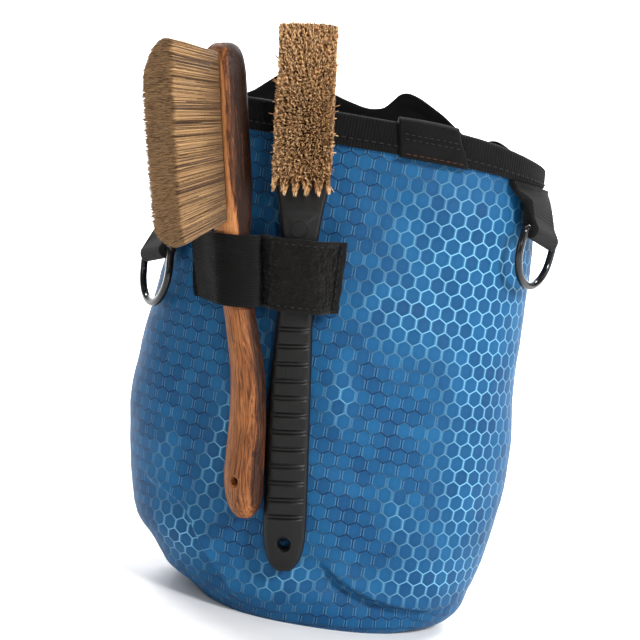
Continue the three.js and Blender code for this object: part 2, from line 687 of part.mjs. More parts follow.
// Distance in front of the origin at which a leaning brush just clears the wall and the binding.
function brushStandoff(sectionAt, length, tailX, tailHeight, lean, roll) {
  const steps = 40;
  let farthest = 0;
  for (let k = 0; k <= steps; k += 1) {
    const distance = (length * k) / steps;
    const height = tailHeight + distance * Math.cos(lean);
    if (height > RIM_TOP) break;
    const section = sectionAt(distance);
    const axisX = tailX - distance * Math.sin(lean);
    const nearX = Math.min(axisX + halfReach(section, roll + Math.PI / 2), 0);
    farthest = Math.max(farthest, frontReach(nearX, height) + halfReach(section, roll));
  }
  return farthest + 2 * GAP;
}

const woodLean = radians(WOOD_LEAN);
const woodRoll = radians(WOOD_ROLL);
const gripLean = radians(GRIP_LEAN);
const woodStandoff = brushStandoff(
  woodSection,
  WOOD_LENGTH,
  WOOD_TAIL_X,
  WOOD_TAIL_HEIGHT,
  woodLean,
  woodRoll,
);
const gripStandoff = brushStandoff(gripSection, GRIP_LENGTH, GRIP_TAIL_X, GRIP_TAIL_HEIGHT, gripLean, 0);

// Where the strap's middle line crosses a brush: the axis there, and the handle's half sizes.
function strapCrossing(sectionAt, tailX, tailHeight, lean, standoff) {
  const distance = (STRAP_CENTRE_HEIGHT - tailHeight) / Math.cos(lean);
  return { x: tailX - distance * Math.sin(lean), y: -standoff, section: sectionAt(distance), lean };
}

const woodCrossing = strapCrossing(woodSection, WOOD_TAIL_X, WOOD_TAIL_HEIGHT, woodLean, woodStandoff);
const gripCrossing = strapCrossing(gripSection, GRIP_TAIL_X, GRIP_TAIL_HEIGHT, gripLean, gripStandoff);

// Points round the front of a handle, from its left side to its right side, clear of its surface.
function roundHandle(crossing, halfWide, halfThick, square, fromDegrees, toDegrees, steps) {
  const clear = STRAP_THICKNESS / 2 + 3 * GAP;
  return Array.from({ length: steps + 1 }, (_, i) => {
    const angle = radians(fromDegrees + ((toDegrees - fromDegrees) * i) / steps);
    return new THREE.Vector3(
      crossing.x + (halfWide + clear) * signedPower(Math.cos(angle), 2 / square),
      crossing.y + (halfThick + clear) * signedPower(Math.sin(angle), 2 / square),
      0,
    );
  });
}

// The strap's middle line, seen from above: from the wall, over both handles and back to the wall.
function strapCurve() {
  const touch = STRAP_THICKNESS / 2 + GAP;
  const onWall = (x) => new THREE.Vector3(x, -frontReach(x, STRAP_CENTRE_HEIGHT) - touch, 0);
  const woodRadius = Math.max(woodCrossing.section.wide, woodCrossing.section.thick);
  const grip = gripCrossing.section;
  const dip = (woodCrossing.x + woodRadius + gripCrossing.x - grip.wide) / 2;
  const rightStart = gripCrossing.x + grip.wide + 2.5 * STRAP_THICKNESS;
  const rightEnd = gripCrossing.x + STRAP_RIGHT_REACH;
  return new THREE.CatmullRomCurve3([
    onWall(woodCrossing.x - STRAP_LEFT_REACH),
    ...roundHandle(woodCrossing, woodRadius, woodRadius, 2, 195, 345, 6),
    onWall(dip - STRAP_DIP_WIDTH / 2),
    onWall(dip + STRAP_DIP_WIDTH / 2),
    ...roundHandle(gripCrossing, grip.wide, grip.thick, grip.square, 190, 350, 6),
    onWall(rightStart),
    onWall((rightStart + rightEnd) / 2),
    onWall(rightEnd),
  ], false, 'centripetal');
}

// Corners of a band's section: 1 is outside or top, -1 is inside or bottom.
const BAND_CORNERS = [[1, -1], [1, 0], [1, 1], [-1, 1], [-1, 0], [-1, -1]];

// A flat band along the strap's line, kept clear of the wall. shift moves it outwards, and from and to are
// shares of the line.
function bandOnStrap(from, to, shift, thickness, height, stations) {
  const curve = strapCurve();
  const rings = Array.from({ length: stations }, (_, i) => {
    const at = from + ((to - from) * i) / (stations - 1);
    const point = curve.getPointAt(at);
    const tangent = curve.getTangentAt(at);
    const out = new THREE.Vector3(tangent.y, -tangent.x, 0).normalize();
    const share = THREE.MathUtils.smoothstep(
      point.x,
      woodCrossing.x + woodCrossing.section.wide,
      gripCrossing.x - gripCrossing.section.wide,
    );
    const lean = woodLean + (gripLean - woodLean) * share;
    const upward = new THREE.Vector3(-Math.sin(lean), 0, Math.cos(lean));
    const middle = new THREE.Vector3(
      point.x,
      point.y,
      STRAP_CENTRE_HEIGHT + (point.x - (woodCrossing.x + gripCrossing.x) / 2) * STRAP_RISE,
    );
    return BAND_CORNERS.map(([outward, rise]) => {
      const corner = middle.clone()
        .addScaledVector(out, shift + (outward * thickness) / 2)
        .addScaledVector(upward, (rise * height) / 2);
      const clear = 2 * GAP + shift + (STRAP_THICKNESS + outward * thickness) / 2;
      return corner.setY(Math.min(corner.y, -frontReach(corner.x, corner.z) - clear));
    });
  });
  const outline = BAND_CORNERS.map(([x, y]) => new THREE.Vector2(x, y));
  return loft(rings, outline);
}

// Share of the strap's line at which it reaches the dip between the handles.
function dipShare() {
  const curve = strapCurve();
  const shares = Array.from({ length: 201 }, (_, i) => i / 200);
  const middle = (woodCrossing.x + gripCrossing.x) / 2;
  return shares.find((share) => curve.getPointAt(share).x > middle);
}

const bag = new THREE.Group();

function addPiece(parent, name, geometry, material) {
  const mesh = new THREE.Mesh(geometry, material);
  mesh.name = name;
  parent.add(mesh);
  return mesh;
}

addPiece(bag, 'side_wall', sagged(sideWall()), materials.ripstop);
addPiece(bag, 'base_panel', basePanel(), materials.ripstop);
addPiece(bag, 'rim_binding', sagged(rimBinding()), materials.grosgrain);
addPiece(bag, 'mouth_collar', sagged(mouthCollar()), materials.webbing);
addPiece(bag, 'rim_tab', sagged(rimTab()), materials.webbing);

// Side tabs and rings
for (const [name, side, height] of [['right', 1, RIGHT_BAR_HEIGHT], ['left', -1, LEFT_BAR_HEIGHT]]) {
  addPiece(bag, `side_tab_${name}`, sagged(sideTab(side, height)), materials.webbing);
  const bar = barFrame(side, height);
  const ring = addPiece(bag, `d_ring_${name}`, dRing(), materials.ring);
  const across = bar.back.clone().multiplyScalar(side);
  const upward = new THREE.Vector3().crossVectors(across, bar.out.clone().negate()).normalize();
  ring.position.copy(bar.centre);
  ring.quaternion.setFromRotationMatrix(
    new THREE.Matrix4().makeBasis(across, bar.out.clone().negate(), upward),
  );
}

// Brushes stand upright in their own frames, roll about their axes and lean to the left.
const woodBrush = new THREE.Group();
woodBrush.position.set(WOOD_TAIL_X, -woodStandoff, WOOD_TAIL_HEIGHT);
woodBrush.rotation.y = -woodLean;
const rolled = new THREE.Group();
rolled.rotation.z = -woodRoll;
woodBrush.add(rolled);
addPiece(rolled, 'wood_brush_handle', woodHandle(), materials.wood);
addPiece(rolled, 'wood_brush_bristles', bristleField(
  WOOD_BRISTLE_ROWS,
  WOOD_LENGTH,
  WOOD_HEAD_WIDTH,
  WOOD_BRISTLE_LENGTH,
  -(FLAT_SHARE * WOOD_HEAD_THICKNESS) / 2 - GAP,
), materials.bristle);
bag.add(woodBrush);

const gripBrush = new THREE.Group();
gripBrush.position.set(GRIP_TAIL_X, -gripStandoff, GRIP_TAIL_HEIGHT);
gripBrush.rotation.y = -gripLean;
addPiece(gripBrush, 'grip_brush_handle', gripHandle(), materials.plastic);
addPiece(gripBrush, 'grip_brush_bristles', bristleField(
  GRIP_BRISTLE_ROWS,
  GRIP_LENGTH,
  GRIP_WIDTH,
  GRIP_BRISTLE_LENGTH,
  -FLAT_SHARE * gripSection(GRIP_LENGTH * 0.85).thick - GAP,
), materials.bristle);
bag.add(gripBrush);

// Strap and fastener patch
const patchShift = (STRAP_THICKNESS + PATCH_THICKNESS) / 2 + 2 * GAP;
addPiece(bag, 'brush_strap', bandOnStrap(
  0,
  1,
  0,
  STRAP_THICKNESS,
  STRAP_HEIGHT,
  STRAP_STATIONS,
), materials.elastic);
addPiece(bag, 'strap_patch', bandOnStrap(
  dipShare() + PATCH_FROM_DIP,
  PATCH_END,
  patchShift,
  PATCH_THICKNESS,
  STRAP_HEIGHT + PATCH_MARGIN,
  PATCH_STATIONS,
), materials.elastic);

export default bag;
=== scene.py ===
import math

import bpy
import numpy as np
from mathutils import Matrix


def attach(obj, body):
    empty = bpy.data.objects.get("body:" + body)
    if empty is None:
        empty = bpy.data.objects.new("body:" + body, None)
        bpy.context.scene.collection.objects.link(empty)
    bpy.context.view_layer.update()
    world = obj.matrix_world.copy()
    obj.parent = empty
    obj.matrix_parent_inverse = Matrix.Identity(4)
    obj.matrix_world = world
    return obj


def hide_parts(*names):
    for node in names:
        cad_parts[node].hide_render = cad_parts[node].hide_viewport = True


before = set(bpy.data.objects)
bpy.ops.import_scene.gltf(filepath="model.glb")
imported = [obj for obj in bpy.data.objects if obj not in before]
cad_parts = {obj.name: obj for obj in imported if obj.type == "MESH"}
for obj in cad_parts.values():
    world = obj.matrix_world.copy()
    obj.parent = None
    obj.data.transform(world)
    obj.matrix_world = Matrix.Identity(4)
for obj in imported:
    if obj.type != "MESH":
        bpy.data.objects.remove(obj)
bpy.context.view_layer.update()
scene = bpy.context.scene
MM = 0.001

# Camera: where it looks, how far off it stands, and how it is turned, from the photograph's view
CAMERA_TARGET = (-10.0, 0.0, 121.0)
CAMERA_DISTANCE = 700.0
CAMERA_DOWN = 6.0
CAMERA_ROLL = 10.0
CAMERA_LENS = 91.57


def add_camera():
    down, roll = math.radians(CAMERA_DOWN), math.radians(CAMERA_ROLL)
    forward = np.array([0.0, math.cos(down), -math.sin(down)])
    level = np.array([1.0, 0.0, 0.0])
    right = math.cos(roll) * level + math.sin(roll) * np.cross(level, forward)
    up = np.cross(right, forward)
    place = (np.array(CAMERA_TARGET) - CAMERA_DISTANCE * forward) * MM
    camera = bpy.data.objects.new("camera", bpy.data.cameras.new("camera"))
    camera.data.lens = CAMERA_LENS
    camera.data.sensor_width = 36.0
    camera.data.clip_start = 0.01
    camera.data.clip_end = 20.0
    scene.collection.objects.link(camera)
    axes = np.eye(4)
    axes[:3, 0], axes[:3, 1], axes[:3, 2], axes[:3, 3] = right, up, -forward, place
    camera.matrix_world = Matrix(axes.tolist())
    scene.camera = camera


add_camera()

# Sizes repeated from the part's source, in millimetres
RIM_TOP = 209.0
HALF_WIDTH = 82.0
HALF_DEPTH = 50.0
ROUNDNESS = 2.3
WALL = 2.0
GAP = 0.3
BINDING_HEIGHT = 13.0
BINDING_THICKNESS = 1.4
BODY_TOP = RIM_TOP - BINDING_THICKNESS - GAP
OUTER_LEG = GAP + BINDING_THICKNESS
INNER_LEG = -(WALL + GAP + BINDING_THICKNESS)

BODY_SECTIONS = np.array([
    (0.0, 0.51, 0.7, 0.88, 0.86),
    (0.015, 0.58, 0.79, 0.925, 0.9),
    (0.045, 0.715, 0.86, 0.96, 0.935),
    (0.09, 0.815, 0.9, 0.975, 0.95),
    (0.13, 0.905, 0.93, 0.985, 0.96),
    (0.2, 0.96, 0.955, 0.995, 0.965),
    (0.3, 1.01, 0.982, 1.0, 0.97),
    (0.38, 1.03, 0.984, 1.0, 0.97),
    (0.5, 1.02, 0.945, 0.99, 0.96),
    (0.65, 0.975, 0.918, 0.97, 0.945),
    (0.8, 0.925, 0.9, 0.94, 0.925),
    (0.92, 0.885, 0.88, 0.92, 0.915),
    (1.0, 0.868, 0.87, 0.91, 0.91),
])


def smoothstep(low, high, value):
    t = np.clip((value - low) / (high - low), 0.0, 1.0)
    return t * t * (3.0 - 2.0 * t)


def signed_power(value, power):
    return np.sign(value) * np.abs(value) ** power


def unit(vectors):
    return vectors / np.maximum(np.linalg.norm(vectors, axis=-1, keepdims=True), 1e-12)


def read(table, place, column):
    """Reads one column of a table at places between its rows, with a smooth curve through them."""
    keys, values = table[:, 0], table[:, column]
    last = len(keys) - 1
    index = np.arange(last + 1)
    before, after = np.maximum(index - 1, 0), np.minimum(index + 1, last)
    slopes = (values[after] - values[before]) / (keys[after] - keys[before])
    i = np.clip(np.searchsorted(keys, place, side="left") - 1, 0, last - 1)
    span = keys[i + 1] - keys[i]
    t = np.clip((place - keys[i]) / span, 0.0, 1.0)
    rise = values[i + 1] - values[i]
    bend = t * (1 - t) * ((1 - t) * (slopes[i] * span - rise) - t * (slopes[i + 1] * span - rise))
    return values[i] + t * rise + bend


def wall_point(angle, up):
    """The smooth wall's outside, at a share of its height and an angle: 0 at the right end, 90 degrees at the back."""
    angle, up = np.broadcast_arrays(np.asarray(angle, float), np.asarray(up, float))
    left, right, front, back = (read(BODY_SECTIONS, up, k) for k in (1, 2, 3, 4))
    x = signed_power(np.cos(angle), 2 / ROUNDNESS)
    y = signed_power(np.sin(angle), 2 / ROUNDNESS)
    return np.stack([
        x * np.where(x > 0, right, left) * HALF_WIDTH,
        y * np.where(y > 0, back, front) * HALF_DEPTH,
        up * BODY_TOP,
    ], -1)


def wall_normal(angle, up):
    step = 0.01
    angle, up = np.broadcast_arrays(np.asarray(angle, float), np.asarray(up, float))
    around = wall_point(angle + step, up) - wall_point(angle - step, up)
    upward = wall_point(angle, np.minimum(up + step, 1)) - wall_point(angle, np.maximum(up - step, 0))
    return unit(np.cross(around, upward))


def beside_wall(angle, height, out):
    """Points at a height in millimetres and a distance out from the wall's outside."""
    angle, height, out = np.broadcast_arrays(*(np.asarray(v, float) for v in (angle, height, out)))
    up = np.minimum(height / BODY_TOP, 1.0)
    level = wall_normal(angle, up) * np.array([1.0, 1.0, 0.0])
    points = wall_point(angle, up) + unit(level) * out[..., None]
    points[..., 2] = height
    return points


def front_angle(x, height):
    up = np.minimum(np.asarray(height, float) / BODY_TOP, 1.0)
    side = np.where(x > 0, read(BODY_SECTIONS, up, 2), read(BODY_SECTIONS, up, 1)) * HALF_WIDTH
    share = np.minimum(np.abs(x) / side, 1.0)
    return -np.arccos(np.sign(x) * share ** (ROUNDNESS / 2))


def front_reach(x, height):
    up = np.minimum(np.asarray(height, float) / BODY_TOP, 1.0)
    reach = -wall_point(front_angle(x, height), up)[..., 1]
    return np.where(height > RIM_TOP - BINDING_HEIGHT, reach + OUTER_LEG, reach)


MOUTH_SAG, SAG_FROM, SAG_TO, SAG_UP = 9.0, 0.3, 0.92, 0.89


def sagged(points):
    """Lowers what lies near the right end of the mouth."""
    points = np.array(points, float)
    across = np.clip((points[..., 0] / HALF_WIDTH - SAG_FROM) / (SAG_TO - SAG_FROM), 0.0, 1.0)
    points[..., 2] -= MOUTH_SAG * across ** 2 * smoothstep(SAG_UP * RIM_TOP, RIM_TOP, points[..., 2])
    return points


def waves(x, z, seed, longest, shortest, count=9):
    """A soft uneven field with an average height near 1, made of bent waves."""
    draw = np.random.default_rng(seed)
    total = np.zeros(np.broadcast(x, z).shape)
    for _ in range(count):
        length = draw.uniform(shortest, longest)
        turn, phase, bend = draw.uniform(0, 2 * math.pi, 3)
        kx, kz = 2 * math.pi * math.cos(turn) / length, 2 * math.pi * math.sin(turn) / length
        sway = 0.9 * np.sin(0.45 * (kz * x - kx * z) + bend)
        total += np.sin(kx * x + kz * z + phase + sway) * (length / longest)
    return total / math.sqrt(count)


# Mesh building

def mesh_object(name, points, faces, loop_uv=None, marks=None, smooth=True):
    """Makes an object from points in millimetres and lists of corners."""
    mesh = bpy.data.meshes.new(name)
    mesh.from_pydata((np.asarray(points) * MM).tolist(), [], faces)
    mesh.polygons.foreach_set("use_smooth", [smooth] * len(mesh.polygons))
    if loop_uv is not None:
        layer = mesh.uv_layers.new(name="flat")
        layer.data.foreach_set("uv", np.asarray(loop_uv, np.float32).ravel())
    for key, values in (marks or {}).items():
        attribute = mesh.attributes.new(key, "FLOAT", "POINT")
        attribute.data.foreach_set("value", np.asarray(values, np.float32).ravel())
    mesh.update()
    made = bpy.data.objects.new(name, mesh)
    scene.collection.objects.link(made)
    return made


def enclosed(points, faces):
    """Six times the signed volume inside quads or triangles."""
    total = 0.0
    for k in range(1, faces.shape[1] - 1):
        a, b, c = points[faces[:, 0]], points[faces[:, k]], points[faces[:, k + 1]]
        total += np.einsum("ij,ij->", a, np.cross(b, c))
    return total


def loft(name, rings, closed=False, uv=None, marks=None, smooth=True):
    """Joins closed rings of points. Unless the last ring meets the first, both ends are capped."""
    rows, columns = rings.shape[:2]
    points = rings.reshape(-1, 3)
    bands = rows if closed else rows - 1
    r, c = np.meshgrid(np.arange(bands), np.arange(columns), indexing="ij")
    r1, c1 = (r + 1) % rows, (c + 1) % columns
    quads = np.stack([
        r * columns + c, r * columns + c1, r1 * columns + c1, r1 * columns + c,
    ], -1).reshape(-1, 4)
    loops = None
    if uv is not None:
        loops = np.stack([uv[r, c], uv[r, c + 1], uv[r + 1, c + 1], uv[r + 1, c]], -2).reshape(-1, 4, 2)
    marks = {key: np.asarray(value, float).ravel() for key, value in (marks or {}).items()}
    caps = np.zeros((0, 3), int)
    if not closed:
        ends = []
        for row, order in ((0, (1, 0)), (rows - 1, (0, 1))):
            middle = len(points)
            points = np.vstack([points, rings[row].mean(0)])
            marks = {k: np.append(v, v[row * columns:(row + 1) * columns].mean()) for k, v in marks.items()}
            edge = row * columns + np.stack([np.arange(columns), (np.arange(columns) + 1) % columns], -1)
            ends.append(np.hstack([edge[:, order], np.full((columns, 1), middle)]))
        caps = np.vstack(ends)
    if enclosed(points, quads) + (enclosed(points, caps) if len(caps) else 0.0) < 0:
        quads, caps = quads[:, ::-1], caps[:, ::-1]
        loops = None if loops is None else loops[:, ::-1]
    if loops is not None:
        flat = [loops.reshape(-1, 2)]
        if len(caps):
            flat.append(np.repeat(loops[:1, 0], len(caps) * 3, 0))
        loops = np.vstack(flat)
    return mesh_object(name, points, quads.tolist() + caps.tolist(), loops, marks, smooth)


def joined(name, points, faces, marks=None, smooth=True):
    """Makes one mesh of many like pieces. points holds pieces by corners by 3, and faces the corners of one piece."""
    count, corners = points.shape[:2]
    faces = np.asarray(faces)
    every = (faces[None] + (np.arange(count) * corners)[:, None, None]).reshape(-1, faces.shape[1])
    return mesh_object(name, points.reshape(-1, 3), every.tolist(), None, marks, smooth)


def settle(piece, body, slot, material, *nodes):
    """Gives a piece its body and material, and hides the solids that it stands for. The slot, its finish, is not used.
    """
    if piece.data.materials:
        piece.data.materials[0] = material
    else:
        piece.data.materials.append(material)
    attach(piece, body)
    if nodes:
        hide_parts(*nodes)
    return piece


def carve(piece, cutter):
    """Cuts one object out of another and removes the cutter."""
    cut = piece.modifiers.new("cut", "BOOLEAN")
    cut.operation = "DIFFERENCE"
    cut.solver = "EXACT"
    cut.object = cutter
    graph = bpy.context.evaluated_depsgraph_get()
    mesh = bpy.data.meshes.new_from_object(piece.evaluated_get(graph))
    piece.modifiers.clear()
    piece.data = mesh
    piece.data.set_sharp_from_angle(angle=math.radians(38))
    bpy.data.objects.remove(cutter)


def stitches(name, lines, length, gap, width, material, body="bag", slot="webbing", sink=0.25):
    """Rows of stitches. Each line holds points along it and the outward direction at each point."""
    sides, steps = 6, 6
    turn = 2 * math.pi * np.arange(sides) / sides
    spots, alongs, outs = [], [], []
    for points, outward in lines:
        points, outward = np.asarray(points, float), np.asarray(outward, float)
        reach = np.concatenate([[0.0], np.cumsum(np.linalg.norm(np.diff(points, axis=0), axis=1))])
        count = max(int(reach[-1] / (length + gap)), 1)
        places = (np.arange(count) + 0.5) * reach[-1] / count
        pick = lambda values, at: np.stack([np.interp(at, reach, values[:, k]) for k in range(3)], -1)
        spots.append(pick(points, places))
        alongs.append(unit(pick(points, places + 0.2) - pick(points, places - 0.2)))
        outs.append(unit(pick(outward, places)))
    spot, along, out = (np.concatenate(v) for v in (spots, alongs, outs))
    out = unit(out - np.sum(out * along, -1, keepdims=True) * along)
    across = np.cross(along, out)
    t = np.linspace(-1, 1, steps)
    fat = np.sqrt(np.maximum(1 - np.abs(t) ** 3, 0.02))
    lift = 1 - 0.75 * np.abs(t) ** 2.2
    points = (
        spot[:, None, None]
        + along[:, None, None] * (t * length / 2)[None, :, None, None]
        + out[:, None, None] * ((lift - sink)[None, :, None, None] * width * 0.6
                                + (fat[:, None] * np.sin(turn))[None, :, :, None] * width / 2)
        + across[:, None, None] * (fat[:, None] * np.cos(turn))[None, :, :, None] * width / 2
    )
    faces = []
    for k in range(steps - 1):
        for i in range(sides):
            j = (i + 1) % sides
            faces.append((k * sides + i, k * sides + j, (k + 1) * sides + j, (k + 1) * sides + i))
    made = joined(name, points.reshape(len(spot), -1, 3), faces)
    return settle(made, body, slot, material)


# Materials

class Paint:
    """A node material around one Principled shader."""

    def __init__(self, name, **constant):
        self.material = bpy.data.materials.new(name)
        self.material.use_nodes = True
        self.tree = self.material.node_tree
        self.tree.nodes.clear()
        output = self.tree.nodes.new("ShaderNodeOutputMaterial")
        self.shader = self.tree.nodes.new("ShaderNodeBsdfPrincipled")
        self.tree.links.new(self.shader.outputs[0], output.inputs[0])
        for key, value in constant.items():
            self.shader.inputs[key.replace("_", " ")].default_value = value

    def put(self, socket, value):
        if isinstance(value, bpy.types.NodeSocket):
            self.tree.links.new(value, socket)
        else:
            socket.default_value = value

    def math(self, operation, *values, clamp=False):
        node = self.tree.nodes.new("ShaderNodeMath")
        node.operation = operation
        node.use_clamp = clamp
        for socket, value in zip(node.inputs, values):
            self.put(socket, value)
        return node.outputs[0]

    def times(self, *values, **options):
        return self.math("MULTIPLY", *values, **options)

    def plus(self, *values, **options):
        return self.math("ADD", *values, **options)

    def minus(self, *values, **options):
        return self.math("SUBTRACT", *values, **options)

    def sine(self, value):
        return self.math("SINE", value)

    def vector(self, operation, *values, output=0):
        node = self.tree.nodes.new("ShaderNodeVectorMath")
        node.operation = operation
        for socket, value in zip(node.inputs, values):
            self.put(socket, value)
        return node.outputs[output]

    def step(self, low, high, value, start=0.0, end=1.0):
        node = self.tree.nodes.new("ShaderNodeMapRange")
        node.interpolation_type = "SMOOTHSTEP"
        for key, entry in zip((0, 1, 2, 3, 4), (value, low, high, start, end)):
            self.put(node.inputs[key], entry)
        return node.outputs[0]

    def mix(self, share, first, second):
        node = self.tree.nodes.new("ShaderNodeMix")
        node.data_type = "RGBA"
        for key, entry in zip((0, 6, 7), (share, first, second)):
            self.put(node.inputs[key], (*entry, 1.0) if isinstance(entry, tuple) else entry)
        return node.outputs[2]

    def choose(self, share, first, second):
        node = self.tree.nodes.new("ShaderNodeMix")
        node.data_type = "VECTOR"
        for key, entry in zip((0, 4, 5), (share, first, second)):
            self.put(node.inputs[key], entry)
        return node.outputs[1]

    def uv(self):
        node = self.tree.nodes.new("ShaderNodeUVMap")
        node.uv_map = "flat"
        return node.outputs[0]

    def mark(self, name):
        node = self.tree.nodes.new("ShaderNodeAttribute")
        node.attribute_name = name
        return node.outputs["Fac"]

    def place(self, scale=(1000.0, 1000.0, 1000.0)):
        """The point on the object in millimetres, stretched by a scale."""
        node = self.tree.nodes.new("ShaderNodeTexCoord")
        return self.vector("MULTIPLY", node.outputs["Object"], scale)

    def split(self, vector):
        node = self.tree.nodes.new("ShaderNodeSeparateXYZ")
        self.put(node.inputs[0], vector)
        return node.outputs

    def join(self, x, y, z=0.0):
        node = self.tree.nodes.new("ShaderNodeCombineXYZ")
        for socket, value in zip(node.inputs, (x, y, z)):
            self.put(socket, value)
        return node.outputs[0]

    def noise(self, vector, scale, detail=3.0, roughness=0.55, distortion=0.0):
        node = self.tree.nodes.new("ShaderNodeTexNoise")
        self.put(node.inputs["Vector"], vector)
        settings = {"Scale": scale, "Detail": detail, "Roughness": roughness, "Distortion": distortion}
        for key, value in settings.items():
            node.inputs[key].default_value = value
        return node.outputs["Fac"]

    def cells(self, vector):
        node = self.tree.nodes.new("ShaderNodeTexWhiteNoise")
        self.put(node.inputs["Vector"], vector)
        return node.outputs["Value"]

    def ramp(self, value, *stops):
        node = self.tree.nodes.new("ShaderNodeValToRGB")
        self.put(node.inputs[0], value)
        ramp = node.color_ramp
        while len(ramp.elements) < len(stops):
            ramp.elements.new(0.5)
        for element, (position, color) in zip(ramp.elements, stops):
            element.position = position
            element.color = (*color, 1.0)
        return node.outputs[0]

    def colour(self, value):
        self.put(self.shader.inputs["Base Color"], value)

    def roughness(self, value):
        self.put(self.shader.inputs["Roughness"], value)

    def bump(self, height, distance, strength=1.0):
        """Adds relief of a depth in millimetres."""
        node = self.tree.nodes.new("ShaderNodeBump")
        node.inputs["Strength"].default_value = strength
        node.inputs["Distance"].default_value = distance * MM
        self.put(node.inputs["Height"], height)
        if self.shader.inputs["Normal"].is_linked:
            self.tree.links.new(self.shader.inputs["Normal"].links[0].from_socket, node.inputs["Normal"])
        self.tree.links.new(node.outputs[0], self.shader.inputs["Normal"])


HEXAGON = 6.3
HEXAGON_LINE = 0.052


def ripstop(name, deep, light, line_dark, line_light, sheen):
    """Woven cloth with a honeycomb of thicker threads. Its flat map is in millimetres of cloth."""
    paint = Paint(name, Sheen_Weight=sheen, Sheen_Roughness=0.35, Specular_IOR_Level=0.16)
    paint.shader.inputs["Sheen Tint"].default_value = (0.62, 0.82, 1.0, 1.0)
    cloth = paint.uv()
    scaled = paint.vector("SCALE", cloth)
    scaled.node.inputs["Scale"].default_value = 1 / HEXAGON
    half, tall = 0.5, math.sqrt(3) / 2
    far, near = (half, tall, 1.0), (-half, -tall, -1.0)
    first = paint.vector("WRAP", scaled, far, near)
    second = paint.vector("WRAP", paint.vector("ADD", scaled, (half, tall, 0.0)), far, near)
    closer = paint.math(
        "GREATER_THAN",
        paint.vector("LENGTH", first, output=1),
        paint.vector("LENGTH", second, output=1),
    )
    inside = paint.choose(closer, first, second)
    x, y, _ = paint.split(paint.vector("ABSOLUTE", inside))
    slanted = paint.plus(paint.times(x, 0.5), paint.times(y, tall))
    edge = paint.math("MAXIMUM", x, slanted)
    line = paint.step(half - HEXAGON_LINE, half - 0.4 * HEXAGON_LINE, edge)
    inner = paint.times(paint.step(half - 2.6 * HEXAGON_LINE, half - 1.5 * HEXAGON_LINE, edge),
                       paint.step(half - 0.9 * HEXAGON_LINE, half - 1.3 * HEXAGON_LINE, edge))
    upright = paint.step(0.3, 0.42, x)
    centre = paint.vector("SUBTRACT", scaled, inside)
    number = paint.vector("FLOOR", paint.vector(
        "ADD", paint.vector("MULTIPLY", centre, (2.0, 2.0 / (2 * tall), 0.0)), (0.5, 0.5, 0.0)))
    chance = paint.cells(number)

    u, v, _ = paint.split(cloth)
    weft = paint.sine(paint.times(v, 2 * math.pi / 0.62))
    warp = paint.sine(paint.times(u, 2 * math.pi / 0.62))
    weave = paint.times(weft, warp)
    grain = paint.noise(cloth, 1.6, 4.0, 0.7)
    broad = paint.noise(cloth, 0.035, 2.0, 0.5)
    tone = paint.plus(paint.times(grain, 0.5), paint.times(chance, 0.3))
    tone = paint.plus(tone, paint.times(broad, 0.5))
    tone = paint.plus(tone, paint.times(weave, 0.05))
    tone = paint.minus(tone, paint.times(edge, 0.25))
    cell = paint.ramp(tone, (0.3, deep), (0.85, light))
    pale = paint.times(paint.times(inner, upright), paint.plus(0.12, paint.times(grain, 0.3)))
    cell = paint.mix(pale, cell, line_light)
    # The glint mark is a painted highlight: it moves the threads from line_dark to line_light where they would catch
    # the light.
    glint = paint.plus(paint.mark("glint"), paint.times(paint.minus(grain, 0.5), 0.5))
    glint = paint.plus(glint, paint.times(paint.minus(chance, 0.5), 0.25), clamp=True)
    thread = paint.mix(glint, line_dark, line_light)
    paint.colour(paint.mix(line, cell, thread))
    paint.roughness(paint.minus(paint.plus(0.5, paint.times(grain, 0.16)),
                               paint.times(line, 0.14)))
    relief = paint.plus(paint.times(line, 0.7), paint.times(weave, 0.2))
    relief = paint.plus(relief, paint.times(grain, 0.35))
    paint.bump(relief, 0.12, 0.8)
    return paint.material


def woven_black(name, shade, highlight, rough, thread, sheen=0.05):
    """Black tape or cloth with fine threads."""
    paint = Paint(name, Sheen_Weight=sheen, Sheen_Roughness=0.45, Specular_IOR_Level=0.12)
    spot = paint.place()
    fine = paint.noise(spot, 1.7, 4.0, 0.7)
    broad = paint.noise(spot, 0.09, 3.0, 0.6)
    x, y, z = paint.split(spot)
    rows = paint.sine(paint.times(z, 2 * math.pi / thread))
    columns = paint.sine(paint.times(paint.plus(x, y), 2 * math.pi / (thread * 1.3)))
    weave = paint.times(rows, columns)
    tone = paint.plus(paint.times(fine, 0.6), paint.times(broad, 0.4))
    tone = paint.plus(tone, paint.times(weave, 0.12))
    paint.colour(paint.ramp(tone, (0.3, shade), (0.72, highlight)))
    paint.roughness(paint.plus(rough - 0.08, paint.times(fine, 0.2)))
    paint.bump(paint.plus(weave, paint.times(fine, 0.8)), 0.09, 0.7)
    return paint.material


def thread_material(name, colour, twist):
    paint = Paint(name, Roughness=0.6, Specular_IOR_Level=0.3)
    spot = paint.place()
    x, y, z = paint.split(spot)
    slant = paint.plus(paint.plus(x, y), z)
    strand = paint.sine(paint.times(slant, 2 * math.pi / twist))
    fine = paint.noise(spot, 3.0, 2.0)
    darker = tuple(0.45 * c for c in colour)
    paint.colour(paint.mix(paint.times(fine, paint.step(-1, 1, strand)), darker, colour))
    paint.bump(strand, 0.06, 0.6)
    return paint.material


def ring_material():
    paint = Paint("ring_gloss", Specular_IOR_Level=0.35, Coat_Weight=0.1, Coat_Roughness=0.08)
    spot = paint.place()
    fine = paint.noise(spot, 0.9, 4.0, 0.6)
    scuff = paint.step(0.6, 0.72, paint.noise(paint.vector("MULTIPLY", spot, (1.0, 1.0, 3.0)), 0.5, 5.0, 0.7))
    paint.colour(paint.mix(scuff, (0.007, 0.007, 0.008), (0.022, 0.022, 0.024)))
    paint.roughness(paint.plus(paint.times(fine, 0.12), paint.times(scuff, 0.2)))
    paint.bump(fine, 0.05, 0.35)
    return paint.material


